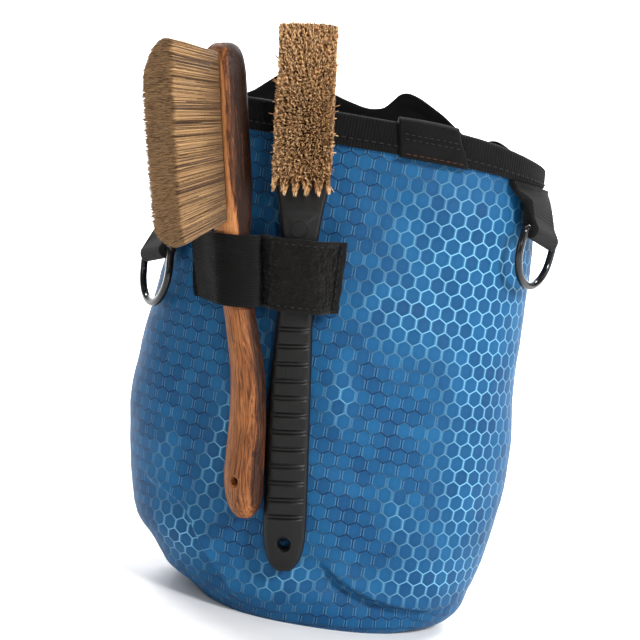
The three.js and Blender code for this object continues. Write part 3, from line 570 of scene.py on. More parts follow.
def wood_material():
    """Oiled hardwood. The marks give a point along, across and through the handle in millimetres."""
    paint = Paint("oiled_wood", Specular_IOR_Level=0.16, Coat_Weight=0.0, Coat_Roughness=0.35)
    across, through, along = (paint.mark(key) for key in ("across", "through", "along"))
    sway = paint.noise(paint.join(across, through, paint.times(along, 0.2)), 0.12, 3.0, 0.5)
    bent = paint.plus(across, paint.times(paint.minus(sway, 0.5), 9.0))
    depth = paint.plus(through, paint.times(paint.minus(sway, 0.5), 5.0))
    fibre = paint.noise(paint.join(bent, depth, paint.times(along, 0.05)), 1.5, 6.0, 0.66, 0.4)
    ring = paint.sine(paint.times(paint.plus(bent, paint.times(depth, 0.6)), 2 * math.pi / 2.2))
    pores = paint.noise(paint.join(bent, depth, paint.times(along, 0.1)), 3.4, 3.0, 0.6)
    pore = paint.step(0.57, 0.68, pores)
    broad = paint.noise(paint.join(bent, depth, paint.times(along, 0.25)), 0.09, 2.0, 0.5)
    tone = paint.plus(paint.times(fibre, 0.78), paint.times(ring, 0.03))
    tone = paint.plus(tone, paint.times(broad, 0.3))
    # This mark takes tone away: the head is darker towards its back, and painted shade runs down the handle's right
    # side.
    tone = paint.minus(tone, paint.times(paint.mark("dark_and_painted_shade"), 0.26))
    tone = paint.plus(tone, paint.times(paint.mark("warm"), 0.2))
    colour = paint.ramp(
        tone,
        (0.3, (0.016, 0.0055, 0.0025)),
        (0.43, (0.09, 0.029, 0.0105)),
        (0.55, (0.24, 0.085, 0.026)),
        (0.72, (0.42, 0.175, 0.06)),
    )
    paint.colour(paint.mix(paint.times(pore, 0.75), colour, (0.03, 0.012, 0.007)))
    paint.roughness(paint.plus(0.36, paint.times(fibre, 0.24)))
    paint.bump(paint.minus(paint.times(fibre, 0.5), pore), 0.12, 0.6)
    return paint.material


def bristle_material(name, root, middle, tip, dark_and_painted_shade):
    """Natural bristles. tint holds a strand's own chance of a darker colour together with painted shade where its
    clump lies low; reach runs from its root to its tip, and the darker root colour is painted shade near the handle.
    """
    paint = Paint(name, Roughness=0.5, Specular_IOR_Level=0.4)
    tint_and_shade, reach = paint.mark("tint_and_shade"), paint.mark("reach")
    spot = paint.place()
    fine = paint.noise(spot, 1.1, 3.0, 0.7)
    # The root colour is darker as painted shade close to the handle.
    base = paint.ramp(reach, (0.0, root), (0.45, middle), (0.9, tip))
    shade = paint.plus(paint.times(tint_and_shade, 0.8), paint.times(fine, 0.35))
    # The dark colour stands for darker strands and for painted shade between clumps.
    paint.colour(paint.mix(paint.step(0.28, 0.85, shade), dark_and_painted_shade, base))
    paint.bump(fine, 0.05, 0.3)
    return paint.material


def plastic_material():
    paint = Paint("moulded_plastic", Specular_IOR_Level=0.24)
    spot = paint.place()
    fine = paint.noise(spot, 2.2, 4.0, 0.65)
    broad = paint.noise(spot, 0.12, 3.0, 0.6)
    dust = paint.step(0.56, 0.75, paint.noise(spot, 0.8, 6.0, 0.75))
    base = paint.ramp(broad, (0.3, (0.002, 0.0018, 0.0017)), (0.7, (0.0042, 0.0037, 0.0034)))
    paint.colour(paint.mix(paint.times(dust, 0.3), base, (0.035, 0.029, 0.025)))
    paint.roughness(paint.plus(0.3, paint.times(fine, 0.2)))
    paint.bump(fine, 0.07, 0.55)
    return paint.material


def floor_material():
    paint = Paint("pale_floor", Roughness=0.85, Specular_IOR_Level=0.2)
    spot = paint.place((1.0, 1.0, 1.0))
    fine = paint.noise(spot, 60.0, 4.0, 0.6)
    paint.colour(paint.ramp(fine, (0.3, (0.83, 0.83, 0.83)), (0.7, (0.87, 0.87, 0.87))))
    return paint.material


CLOTH = ripstop(
    "blue_ripstop",
    (0.0025, 0.043, 0.125), (0.008, 0.095, 0.225),
    (0.0015, 0.0125, 0.045), (0.16, 0.42, 0.62), 0.04)
LINING = ripstop(
    "coated_inside",
    (0.009, 0.045, 0.1), (0.016, 0.075, 0.15),
    (0.006, 0.03, 0.08), (0.02, 0.08, 0.15), 0.03)
GROSGRAIN = woven_black("black_grosgrain", (0.002, 0.002, 0.002), (0.008, 0.0077, 0.0077), 0.8, 0.5)
WEBBING = woven_black("black_webbing", (0.002, 0.002, 0.002), (0.0075, 0.0075, 0.0075), 0.78, 0.62)
COLLAR = woven_black("black_nylon", (0.002, 0.002, 0.0022), (0.006, 0.006, 0.0065), 0.7, 0.35, 0.0)
ELASTIC = woven_black("black_elastic", (0.0012, 0.0012, 0.0012), (0.0055, 0.0053, 0.005), 0.85, 0.55)
FASTENER = woven_black("fastener_tape", (0.0014, 0.0013, 0.0012), (0.011, 0.0098, 0.009), 0.9, 0.7, 0.1)
BLACK_THREAD = thread_material("black_thread", (0.016, 0.0155, 0.015), 0.9)
BROWN_THREAD = thread_material("brown_thread", (0.085, 0.025, 0.01), 0.9)
RING = ring_material()
WOOD = wood_material()
PLASTIC = plastic_material()
# Root colours are darker as painted shade near the handles; the dark colours stand for darker strands and painted
# shade between clumps.
PALE_BRISTLE = bristle_material(
    "pale_bristle", (0.17, 0.09, 0.036), (0.44, 0.26, 0.115), (0.5, 0.29, 0.125), (0.06, 0.027, 0.01))
WARM_BRISTLE = bristle_material(
    "warm_bristle", (0.2, 0.09, 0.03), (0.46, 0.24, 0.095), (0.98, 0.66, 0.34), (0.24, 0.1, 0.034))
# A dark brown that stands in for the shade deep inside the bristle fields.
SHADE_CORE_BRISTLE = bristle_material(
    "bristle_shade_core", (0.11, 0.05, 0.018), (0.11, 0.05, 0.018), (0.11, 0.05, 0.018), (0.06, 0.026, 0.01))


# Bag wall

def curve_through(points, count):
    """A smooth line through a few points."""
    points = np.asarray(points, float)
    place = np.arange(len(points), dtype=float)
    at = np.linspace(0, len(points) - 1, count)
    return np.stack([
        read(np.column_stack([place, points[:, k]]), at, 1) for k in range(points.shape[1])
    ], -1)


def beside_line(x, z, line):
    """Distance from a line in the cloth, positive above it, and the share of the way along it."""
    lengths = np.linalg.norm(np.diff(line, axis=0), axis=1)
    starts = np.concatenate([[0.0], np.cumsum(lengths)])
    best = np.full(x.shape, 1e9)
    signed, share = np.zeros(x.shape), np.zeros(x.shape)
    for k, length in enumerate(lengths):
        ax, az = line[k]
        dx, dz = (line[k + 1] - line[k]) / length
        t = np.clip((x - ax) * dx + (z - az) * dz, 0, length)
        px, pz = x - ax - t * dx, z - az - t * dz
        away = np.hypot(px, pz)
        near = away < best
        best = np.where(near, away, best)
        signed = np.where(near, away * np.sign(dx * pz - dz * px), signed)
        share = np.where(near, (starts[k] + t) / starts[-1], share)
    return signed, share


# Tucks in the cloth: where they run on the front, how far the lower cloth lies in and fades out, the lip above,
# how sharp the step is, and how far the honeycomb is shifted across it
TUCKS = [
    {"line": [(-74, 52), (-69, 46), (-60, 43.5), (-52, 39), (-45, 30), (-38, 21), (-31, 13), (-25, 8), (-17, 5)],
     "depth": 1.9, "fade": 17.0, "lip": 0.75, "lip_fade": 2.6, "sharp": 0.9, "shift": 2.7},
    {"line": [(5, 31), (9, 27), (19, 20.5), (30, 16), (43, 13.5), (53, 12.8), (64, 14.5)],
     "depth": 4.2, "fade": 9.0, "lip": 1.5, "lip_fade": 6.5, "sharp": 1.3, "shift": 3.4},
]

# Dents and swells on the front: place, half sizes, turn in degrees, and depth, which is positive outwards
FRONT_DENTS = [
    (14, 70, 17, 10, -20, -1.5), (31, 86, 12, 16, 30, -1.1), (3, 92, 7, 13, 10, 1.0),
    (26, 150, 12, 20, 35, -1.2), (12, 176, 22, 7, -35, -1.0), (48, 172, 18, 12, 20, 0.9),
    (40, 118, 9, 24, 20, 0.8), (60, 95, 7, 34, 4, 0.8), (22, 46, 13, 16, -30, -1.2),
    (44, 40, 12, 20, 20, 1.2), (-4, 14, 16, 7, 8, 2.0), (-48, 27, 10, 8, -40, 1.3),
    (-58, 78, 8, 26, 8, -0.9), (-40, 100, 7, 24, -6, 0.9), (-30, 30, 12, 14, -30, 0.9),
    (-62, 150, 9, 18, -10, -0.8), (66, 150, 6, 22, 4, -0.7), (-20, 190, 18, 7, 0, -0.7),
    (4, 34, 9, 12, 30, -1.0),
]
BACK_DENTS = [
    (20, 60, 26, 14, 25, -1.8), (-34, 104, 16, 30, -20, -1.6), (30, 140, 14, 28, 25, 1.4),
    (-8, 28, 34, 9, 6, -2.0), (-50, 50, 14, 22, 20, 1.5), (54, 96, 12, 28, -8, -1.2),
    (0, 176, 30, 12, 5, -1.2), (-46, 160, 14, 18, 10, 1.1),
]

# Painted highlight: where the thicker threads are coloured lighter as if catching the light: place, half sizes, turn
# in degrees and strength
FRONT_GLINTS = [
    (44, 163, 30, 24, -15, 1.05), (26, 133, 22, 14, -10, 0.8), (60, 118, 17, 36, 6, 0.85),
    (62, 62, 13, 34, 6, 0.95), (50, 25, 22, 9, 8, 0.85), (38, 48, 7, 18, 30, 0.6),
    (-39, 78, 6, 36, -10, 0.95), (-30, 52, 7, 12, -20, 0.6), (-51, 27, 12, 10, -40, 1.0),
    (-8, 20, 17, 9, 8, 0.7), (4, 96, 6, 14, 5, 0.65), (-64, 60, 5, 16, 0, 0.35), (-33, 165, 5, 12, 0, 0.5),
]
BACK_GLINTS = [
    (-30, 150, 30, 26, 20, 0.9), (40, 100, 18, 40, 0, 0.8), (-52, 60, 16, 36, 8, 0.8), (10, 30, 30, 12, 0, 0.7),
]


def blobs(x, z, table):
    total = np.zeros(x.shape)
    for at_x, at_z, wide, tall, turn, size in table:
        c, s = math.cos(math.radians(turn)), math.sin(math.radians(turn))
        dx, dz = x - at_x, z - at_z
        along, up = c * dx + s * dz, -s * dx + c * dz
        total += size * np.exp(-((along / wide) ** 2) - (up / tall) ** 2)
    return total


def tuck_shape(x, z, tuck):
    signed, share = beside_line(x, z, curve_through(tuck["line"], 48))
    ends = smoothstep(0.0, 0.22, share) * smoothstep(1.0, 0.72, share)
    below = -tuck["depth"] * np.exp(-((np.maximum(-signed, 0) / tuck["fade"]) ** 1.6))
    above = tuck["lip"] * np.exp(-((np.maximum(signed, 0) / tuck["lip_fade"]) ** 2))
    side = smoothstep(-tuck["sharp"], tuck["sharp"], signed)
    shift = tuck["shift"] * (1 - smoothstep(-0.7, 0.7, signed)) * np.exp(-((np.maximum(-signed, 0) / 60) ** 2))
    return (side * above + (1 - side) * below) * ends, shift * ends


def relief(angle, spot):
    """How far the cloth stands out from the smooth wall, and how far its weave is shifted down."""
    x, z = spot[..., 0], spot[..., 2]
    face = np.sin(angle)
    front, back = smoothstep(0.0, 0.35, -face), smoothstep(0.0, 0.35, face)
    held = smoothstep(199.0, 180.0, z) * smoothstep(0.0, 9.0, z)
    out = front * blobs(x, z, FRONT_DENTS) + back * blobs(x, z, BACK_DENTS)
    turned = np.where(face < 0, x, 400 - x)
    out += 0.42 * waves(turned, z, 3, 62, 24) + 0.2 * waves(turned, z * 0.8, 5, 24, 11)
    out += 0.09 * waves(turned, z, 8, 11, 5)
    out *= held
    shift = np.zeros(x.shape)
    for tuck in TUCKS:
        shape, moved = tuck_shape(x, z, tuck)
        out += shape * front * smoothstep(0.0, 5.0, z)
        shift += moved * front
    return out, shift


def bag_wall():
    stations, outside, inside = 384, 202, 34
    turn = 2 * math.pi * np.arange(stations) / stations
    angle = math.pi / 2 + turn + 0.33 * np.sin(turn)
    share = np.linspace(0, 1, outside)
    up = 0.72 * share ** 1.75 + 0.28 * share
    angles, ups = np.meshgrid(angle, up)
    smooth = wall_point(angles, ups)
    normal = wall_normal(angles, ups)
    out, shift = relief(angles, smooth)
    outer = smooth + normal * out[..., None]
    outer[..., 2] = np.maximum(outer[..., 2], 0.0)
    outer[0] = smooth[0]

    rows = np.linspace(1, 0, inside) ** 1.3
    angles_in, ups_in = np.meshgrid(angle, rows)
    inner_wall = wall_point(angles_in, ups_in)
    inner_out, _ = relief(angles_in, inner_wall)
    inner = inner_wall + wall_normal(angles_in, ups_in) * (inner_out - WALL)[..., None]
    inner[0, :, 2] = BODY_TOP
    inner[-1] = inner_wall[-1]
    inner[-1, :, 2] = WALL
    inner[:, :, 2] = np.maximum(inner[:, :, 2], WALL)

    # Flat map: millimetres round the cloth from the front's middle, with its seam at the back, and up the cloth
    across = np.linalg.norm(np.diff(np.concatenate([smooth, smooth[:, :1]], 1), axis=1), axis=-1)
    u = np.concatenate([np.zeros((outside, 1)), np.cumsum(across, 1)], 1)
    u = u - u[:, stations // 2:stations // 2 + 1]
    climb = np.linalg.norm(np.diff(smooth, axis=0), axis=-1)
    v = np.concatenate([np.zeros((1, stations)), np.cumsum(climb, 0)], 0)
    v = v - v[-1:] + BODY_TOP - shift
    v = np.concatenate([v, v[:, :1]], 1)
    flat_out = np.stack([u, v], -1)
    pick = np.clip(np.searchsorted(up, rows), 0, outside - 1)
    flat_in = flat_out[pick]
    uv = np.concatenate([flat_out, flat_in, flat_out[:1]], 0)

    # Painted highlight on the thicker threads, laid out by the glint tables.
    glint = (smoothstep(0.0, 0.3, -np.sin(angles)) * blobs(smooth[..., 0], smooth[..., 2], FRONT_GLINTS)
             + smoothstep(0.0, 0.3, np.sin(angles)) * blobs(smooth[..., 0], smooth[..., 2], BACK_GLINTS))
    glint = np.concatenate([glint, np.zeros(angles_in.shape)], 0)
    rings = sagged(np.concatenate([outer, inner], 0))
    wall = loft("bag_wall", rings, closed=True, uv=uv, marks={"glint": glint})
    wall.data.materials.append(CLOTH)
    wall.data.materials.append(LINING)
    index = np.repeat(np.arange(outside + inside), stations) >= outside - 1
    index = index & (np.repeat(np.arange(outside + inside), stations) < outside + inside - 1)
    wall.data.polygons.foreach_set("material_index", index.astype(np.int32))
    settle(wall, "bag", "ripstop", CLOTH, "side_wall")


def bag_base():
    """The oval base, slightly crowned, with a turned edge."""
    stations = 192
    angle = 2 * math.pi * np.arange(stations) / stations
    level = unit(wall_normal(angle, 0.0) * np.array([1.0, 1.0, 0.0]))
    edge = wall_point(angle, 0.0) - level * GAP
    centre = edge.mean(0)
    rings, flat = [], []
    profile = [(s, 0.0) for s in np.linspace(0.04, 0.985, 16)] + [(1.0, 0.35), (1.0, 1.5), (0.985, 1.95)]
    profile += [(s, 2.0) for s in np.linspace(0.96, 0.04, 16)]
    for share, height in profile:
        ring = centre + (edge - centre) * share
        swell = 0.25 * waves(ring[:, 0], ring[:, 1], 12, 40, 18) * (1 - share) if height > 1.9 else 0
        ring[:, 2] = height + swell
        rings.append(ring)
        flat.append(np.vstack([ring[:, :2], ring[:1, :2]]) + (300, 300))
    rings = np.array(rings)
    rings[..., 2] = np.clip(rings[..., 2], 0, 2.2)
    flat.append(flat[-1])
    # A weak, even painted highlight on the base's threads.
    base = loft("bag_base", rings, uv=np.array(flat), marks={"glint": np.full(rings.shape[:2], 0.25)})
    settle(base, "bag", "ripstop", CLOTH, "base_panel")


# Rim

def even_angles(count, height, out):
    """Angles that are evenly spaced round the wall at a height."""
    angle = np.linspace(-math.pi / 2, 1.5 * math.pi, 4001)
    points = beside_wall(angle, height, out)
    reach = np.concatenate([[0.0], np.cumsum(np.linalg.norm(np.diff(points, axis=0), axis=1))])
    at = reach[-1] * np.arange(count) / count
    return np.interp(at, reach, angle), at, reach[-1]


def rim_sway(at, total):
    turn = 2 * math.pi * at / total
    return 0.3 * np.sin(5 * turn + 1.0) + 0.22 * np.sin(9 * turn + 2.2) + 0.12 * np.sin(17 * turn)


def rim_binding():
    ribs, per_rib = 308, 5
    angle, at, total = even_angles(ribs * per_rib, RIM_TOP - 4, OUTER_LEG)
    bottom = RIM_TOP - BINDING_HEIGHT
    edge = BINDING_THICKNESS
    outside = [(OUTER_LEG - 0.5, bottom), (OUTER_LEG - 0.12, bottom + 0.15), (OUTER_LEG, bottom + 0.7)]
    outside += [(OUTER_LEG + 0.12 * math.sin(math.pi * s), bottom + 0.7 + s * (BINDING_HEIGHT - edge - 0.7))
                for s in (0.15, 0.3, 0.5, 0.7, 0.85, 1.0)]
    middle, half = (OUTER_LEG + INNER_LEG) / 2, (OUTER_LEG - INNER_LEG) / 2
    crown = [(middle + half * math.cos(a) ** 0.6, RIM_TOP - edge + edge * math.sin(a))
             for a in np.radians([28, 52, 75])]
    crown += [(2 * middle - x, z) for x, z in reversed(crown)]
    inside = [(2 * middle - x, z) for x, z in reversed(outside)]
    hidden = [(INNER_LEG + edge, bottom + 0.4), (INNER_LEG + edge, BODY_TOP + GAP),
              (GAP, BODY_TOP + GAP), (GAP, bottom + 0.4)]
    profile = np.array(outside + crown + inside + hidden)
    shown = np.array([1.0] * (len(profile) - len(hidden)) + [0.0] * len(hidden))
    before, after = np.roll(profile, 1, 0), np.roll(profile, -1, 0)
    normal = unit(np.stack([(after - before)[:, 1], -(after - before)[:, 0]], -1))
    normal[-1] = normal[-2] = (0, 0)
    wave = np.abs(np.cos(math.pi * at * ribs / total)) ** 0.8
    slack = 0.16 * waves(at, np.zeros(len(at)), 21, 60, 22)
    lift = (wave - 0.75)[:, None] * 0.3 * shown
    spot = profile[None] + normal[None] * lift[..., None]
    sway = (rim_sway(at, total) * 0.5)[:, None] * smoothstep(RIM_TOP, bottom, spot[..., 1])
    rings = beside_wall(angle[:, None], spot[..., 1] + sway, spot[..., 0] + slack[:, None] * shown)
    piece = loft("rim_binding_tape", sagged(rings), closed=True)
    settle(piece, "bag", "grosgrain", GROSGRAIN, "rim_binding")

    lines = []
    for out, facing in ((OUTER_LEG + 0.28, 1.0), (INNER_LEG - 0.28, -1.0)):
        at_angle, at, total = even_angles(900, RIM_TOP - 9, out)
        slack = 0.16 * waves(at, np.zeros(len(at)), 21, 60, 22)
        height = bottom + 3.4 + rim_sway(at, total) * 0.35
        points = beside_wall(at_angle, height, out + slack * facing)
        outward = (beside_wall(at_angle, height, out + 1) - beside_wall(at_angle, height, out)) * facing
        lines.append((sagged(np.vstack([points, points[:1]])), np.vstack([outward, outward[:1]])))
    stitches("rim_binding_stitches", lines, 2.3, 0.7, 0.55, BLACK_THREAD, slot="grosgrain")


COLLAR_EDGE = np.array([
    (-90, -0.35), (0, -0.3), (15, -0.1), (38, 0.22), (54, 0.0), (70, 0.62), (80, 1.0), (85, 0.98), (90, 0.42),
    (98, 0.45), (118, 0.92), (131, 1.0), (146, 0.35), (162, -0.05), (180, -0.3), (270, -0.35),
], float)
COLLAR_RISE = 14.0
COLLAR_THICKNESS = 1.5
COLLAR_BELOW_RIM = 19.0
COLLAR_LEAN = 0.35


def mouth_collar():
    stations = 420
    angle = 2 * math.pi * np.arange(stations) / stations
    turn = (np.degrees(angle) + 90) % 360 - 90
    top = RIM_TOP + COLLAR_RISE * read(COLLAR_EDGE, turn, 1)
    lean = COLLAR_LEAN * np.maximum(top - RIM_TOP + COLLAR_RISE * 0.3, 0)
    bottom, bend = RIM_TOP - COLLAR_BELOW_RIM, RIM_TOP - BINDING_HEIGHT / 2
    outside = INNER_LEG - GAP
    rows = 30
    share = np.linspace(0, 1, rows)[None]
    height = bottom + (top[:, None] - bottom) * share
    above = np.clip((height - bend) / np.maximum(top[:, None] - bend, 0.1), 0, 1)
    offset = -lean[:, None] * above ** 1.3
    free = smoothstep(RIM_TOP - 2, RIM_TOP + 6, height)
    round_it = angle[:, None] * 55
    crumple = waves(round_it, height, 31, 34, 9) * 0.7 + waves(round_it, height, 33, 9, 4) * 0.15
    hem = smoothstep(5.2, 4.6, top[:, None] - height) * 0.35
    fat = COLLAR_THICKNESS / 2
    middle = outside - fat - 0.1 + offset + crumple * free * 0.9
    front = beside_wall(angle[:, None], height, middle + fat * 0.8 + hem * free)
    back = beside_wall(angle[:, None], height, middle - fat * 0.8 - hem * free)
    crown = beside_wall(angle[:, None], top[:, None] + 0.45 * np.ones((1, 1)), middle[:, -1:])
    front, crown, back = sagged(front), sagged(crown), sagged(back)
    rings = np.concatenate([front, crown, back[:, ::-1]], 1)
    piece = loft("mouth_collar_cloth", rings, closed=True)
    settle(piece, "bag", "webbing", COLLAR, "mouth_collar")
    row = rows - 1 - int(rows * 0.17)
    keep = (angle > math.radians(50)) & (angle < math.radians(150))
    outward = unit(front[:, row] - back[:, row])
    stitches("mouth_collar_stitches", [(front[keep, row], outward[keep])], 1.9, 0.8, 0.38, BLACK_THREAD)


RIM_TAB_CENTRE = 23.0
RIM_TAB_WIDTH = 27.0
RIM_TAB_TAPER = (4.0, 3.0)
RIM_TAB_DROP = 13.5
WEBBING_THICKNESS = 1.5


def ridged(profile, marks, depth, pitch):
    """Moves a flat profile's points in and out in fine ridges. marks is 1 where the face shows."""
    before, after = np.roll(profile, 1, 0), np.roll(profile, -1, 0)
    normal = unit(np.stack([(after - before)[:, 1], -(after - before)[:, 0]], -1))
    reach = np.concatenate([[0.0], np.cumsum(np.linalg.norm(np.diff(profile, axis=0), axis=1))])
    return profile + normal * (depth * marks * np.abs(np.sin(math.pi * reach / pitch)))[:, None]


def dense(profile, step):
    """Adds points along a closed profile so that none are further apart than a step."""
    profile = np.asarray(profile, float)
    found = []
    for a, b in zip(profile, np.roll(profile, -1, 0)):
        count = max(int(np.linalg.norm(b - a) / step), 1)
        found += [a + (b - a) * k / count for k in range(count)]
    return np.array(found)


def tab_angle(share, height):
    """Angles on the wall for the front tab, which narrows and leans to the left towards its top."""
    rise = smoothstep(RIM_TOP - RIM_TAB_DROP, RIM_TOP + 2, height)
    lean, narrowing = RIM_TAB_TAPER
    x = RIM_TAB_CENTRE - lean * rise + (RIM_TAB_WIDTH - narrowing * rise) * share
    return front_angle(x, RIM_TOP)


def rim_tab():
    front = OUTER_LEG + GAP
    inside = INNER_LEG - GAP - COLLAR_THICKNESS - GAP
    bottom, seat, fold = RIM_TOP - RIM_TAB_DROP, RIM_TOP + GAP, WEBBING_THICKNESS
    middle, half = (front + inside) / 2, (front - inside) / 2 + fold
    crown = [(middle - half * math.cos(a) * abs(math.cos(a)) ** -0.35, seat + 1.9 * math.sin(a))
             for a in np.radians(np.linspace(8, 172, 15))]
    profile = [(front, bottom), (front, seat), (inside, seat), (inside, bottom)]
    profile += [(inside - fold + 0.3, bottom - 0.1), (inside - fold, bottom + 0.4)]
    profile += crown
    profile += [(front + fold, bottom + 0.4), (front + fold - 0.3, bottom - 0.1)]
    profile = dense(profile, 0.2)
    shown = ((profile[:, 0] > front + 0.4) | (profile[:, 0] < inside - 0.4) | (profile[:, 1] > seat + 0.4)) * 1.0
    profile = ridged(profile, shown, 0.13, 0.95)
    across = np.linspace(-0.5, 0.5, 46)
    across = np.sign(across) * np.abs(across * 2) ** 0.85 / 2
    thin = 1 - 0.35 * smoothstep(0.47, 0.5, np.abs(across))
    rings = []
    for share, edge in zip(across, thin):
        angle = tab_angle(share, profile[:, 1])
        out = np.where(profile[:, 0] > middle, front + (profile[:, 0] - front) * edge, profile[:, 0])
        swell = 0.35 * np.cos(math.pi * share) * smoothstep(RIM_TOP - 12, RIM_TOP, profile[:, 1]) * shown
        herring = 0.03 * shown * np.sin(share * RIM_TAB_WIDTH * 2 * math.pi / 1.6)
        height = profile[:, 1] + swell - 0.25 * (share + 0.5)
        rings.append(beside_wall(angle, height, out + herring + swell * (profile[:, 0] > middle)))
    piece = loft("rim_tab_webbing", sagged(rings))
    settle(piece, "bag", "webbing", WEBBING, "rim_tab")
    lines = []
    place = np.linspace(-0.43, 0.43, 40)
    for height, shift in ((RIM_TOP - 4.4, 0.1), (RIM_TOP - 6.2, -0.1), (bottom + 1.5, 0.0)):
        level = height - 0.25 * place + shift
        angle = tab_angle(place, level)
        points = beside_wall(angle, level, front + fold + 0.22)
        outward = beside_wall(angle, level, front + fold + 1.2) - points
        lines.append((sagged(points), outward))
    stitches("rim_tab_stitches", lines[:2], 1.9, 0.6, 0.5, BLACK_THREAD)
    stitches("rim_tab_hem_stitches", lines[2:], 2.2, 0.5, 0.5, BROWN_THREAD)


# Side tabs and rings
RING_STANDOFF = 7.0
RING_INNER_WIDTH = 25.0
RING_BAR = 3.4
RING_BAND = 3.0
RING_LIMB = 7.2
RING_CORNER = 3.0
RUNNING_GAP = 0.5
TAB_WIDTH_AT_RIM = 29.0
TAB_FREE_LENGTH = 16.0
BARS = {
    "right": {"side": 1, "height": 174.0, "angle": -0.436332, "out": (0.83338, -0.5527, 0.0),
              "centre": (73.1129, -25.9273, 174.0), "back": (0.540624, 0.815168, -0.207912)},
    "left": {"side": -1, "height": 140.0, "angle": -2.792527, "out": (-0.8858, -0.4641, 0.0),
             "centre": (-81.3072, -22.2389, 140.0), "back": (-0.453947, 0.866432, -0.207912)},
}


def side_tab(name, bar):
    side, bar_height = bar["side"], bar["height"]
    hole = RING_BAR / 2 + RUNNING_GAP
    turn_radius = hole + WEBBING_THICKNESS
    slit = GAP / 2
    layers = slit + WEBBING_THICKNESS
    top = RIM_TOP - BINDING_HEIGHT - GAP
    free_top = bar_height + turn_radius + TAB_FREE_LENGTH
    throat = turn_radius * 1.6
    release = TAB_FREE_LENGTH * 0.55
    on_wall = 2 * GAP + layers

    def spine(height):
        return on_wall + (RING_STANDOFF - on_wall) * smoothstep(0, free_top - bar_height, free_top - height)

    def half(height, at_top, at_bar):
        return at_top + (at_bar - at_top) * smoothstep(0, throat, bar_height + throat - height)

    heights = np.concatenate([
        np.linspace(top, bar_height + throat, 64)[:-1],
        bar_height + throat * np.linspace(1, 0, 14),
    ])

    def leg(sign, at_top, at_bar):
        return np.stack([spine(heights) + sign * half(heights, at_top, at_bar), heights], -1)

    def arc(sign, radius):
        turn = np.linspace(0, math.pi, 26)[1:-1]
        return np.stack([RING_STANDOFF + sign * radius * np.cos(turn), bar_height - radius * np.sin(turn)], -1)

    outer = np.concatenate([leg(1, layers, turn_radius), arc(1, turn_radius), leg(-1, layers, turn_radius)[::-1]])
    inner = np.concatenate([leg(-1, slit, hole), arc(-1, hole), leg(1, slit, hole)[::-1]])
    profile = np.concatenate([outer, inner])
    shown = np.concatenate([np.ones(len(outer)), np.zeros(len(inner))])
    before, after = np.roll(profile, 1, 0), np.roll(profile, -1, 0)
    normal = unit(np.stack([-(after - before)[:, 1], (after - before)[:, 0]], -1))
    reach = np.concatenate([[0.0], np.cumsum(np.linalg.norm(np.diff(profile, axis=0), axis=1))])
    profile = profile + normal * (0.14 * shown * (np.abs(np.sin(math.pi * reach / 1.5)) - 0.8))[:, None]

    step = 0.01
    near = wall_point(np.array([bar["angle"] + step, bar["angle"] - step]), 1.0)
    pace = np.linalg.norm(near[0] - near[1]) / (2 * step)
    width_at_bar = RING_INNER_WIDTH - RING_CORNER - 2 * RUNNING_GAP
    centre, back, out = (np.array(bar[k]) for k in ("centre", "back", "out"))
    shares = np.linspace(-0.5, 0.5, 27)
    rings = []
    for share in shares:
        angle = bar["angle"] + side * share * TAB_WIDTH_AT_RIM / pace
        lying = beside_wall(angle, profile[:, 1], profile[:, 0])
        level = (profile[:, 1] - bar_height)[:, None] * np.array([0.0, 0.0, 1.0])
        hanging = centre + back * share * width_at_bar + out * (profile[:, 0] - RING_STANDOFF)[:, None] + level
        freed = smoothstep(0, release, free_top - profile[:, 1])[:, None]
        rings.append(lying * (1 - freed) + hanging * freed)
    piece = loft(f"side_tab_{name}_webbing", sagged(rings))
    settle(piece, "bag", "webbing", WEBBING, f"side_tab_{name}")

    lines = []
    places = np.linspace(-0.42, 0.42, 30)
    for height in (free_top + 3.5, free_top + 5.3):
        if height > top - 1:
            continue
        angles = bar["angle"] + side * places * TAB_WIDTH_AT_RIM / pace
        spot = spine(height) + layers + 0.2
        points = beside_wall(angles, height, spot)
        lines.append((sagged(points), beside_wall(angles, height, spot + 1) - points))
    if lines:
        stitches(f"side_tab_{name}_stitches", lines, 1.9, 0.6, 0.5, BLACK_THREAD)


def d_ring(name, bar):
    half = (RING_INNER_WIDTH + RING_BAR) / 2
    corner = np.linspace(0, math.pi / 2, 9)
    path = [(-half + RING_CORNER, 0.0), (half - RING_CORNER, 0.0)]
    path += [(half - RING_CORNER + RING_CORNER * math.sin(a), -RING_CORNER + RING_CORNER * math.cos(a))
             for a in corner]
    path += [(half * math.cos(a), -RING_LIMB - half * math.sin(a)) for a in np.linspace(0, math.pi, 61)]
    path += [(-half + RING_CORNER - RING_CORNER * math.cos(a), -RING_CORNER + RING_CORNER * math.sin(a))
             for a in corner]
    path = dense(path, 0.8)
    keep = np.linalg.norm(path - np.roll(path, 1, 0), axis=1) > 0.05
    path = path[keep]
    before, after = np.roll(path, 1, 0), np.roll(path, -1, 0)
    across = unit(np.stack([(after - before)[:, 1], -(after - before)[:, 0]], -1))
    turn = 2 * math.pi * np.arange(18) / 18
    wide = RING_BAR / 2 * signed_power(np.cos(turn), 2 / 2.3)
    deep = RING_BAND / 2 * signed_power(np.sin(turn), 2 / 2.3)
    local = np.stack([
        path[:, :1] + across[:, :1] * wide,
        np.broadcast_to(deep, (len(path), 18)),
        path[:, 1:] + across[:, 1:] * wide,
    ], -1)
    centre, back, out = (np.array(bar[k]) for k in ("centre", "back", "out"))
    x_axis, y_axis = back * bar["side"], -out
    z_axis = unit(np.cross(x_axis, y_axis))
    rings = centre + local[..., :1] * x_axis + local[..., 1:2] * y_axis + local[..., 2:] * z_axis
    piece = loft(f"d_ring_{name}_body", rings, closed=True)
    settle(piece, f"ring_{name}", "ring", RING, f"d_ring_{name}")


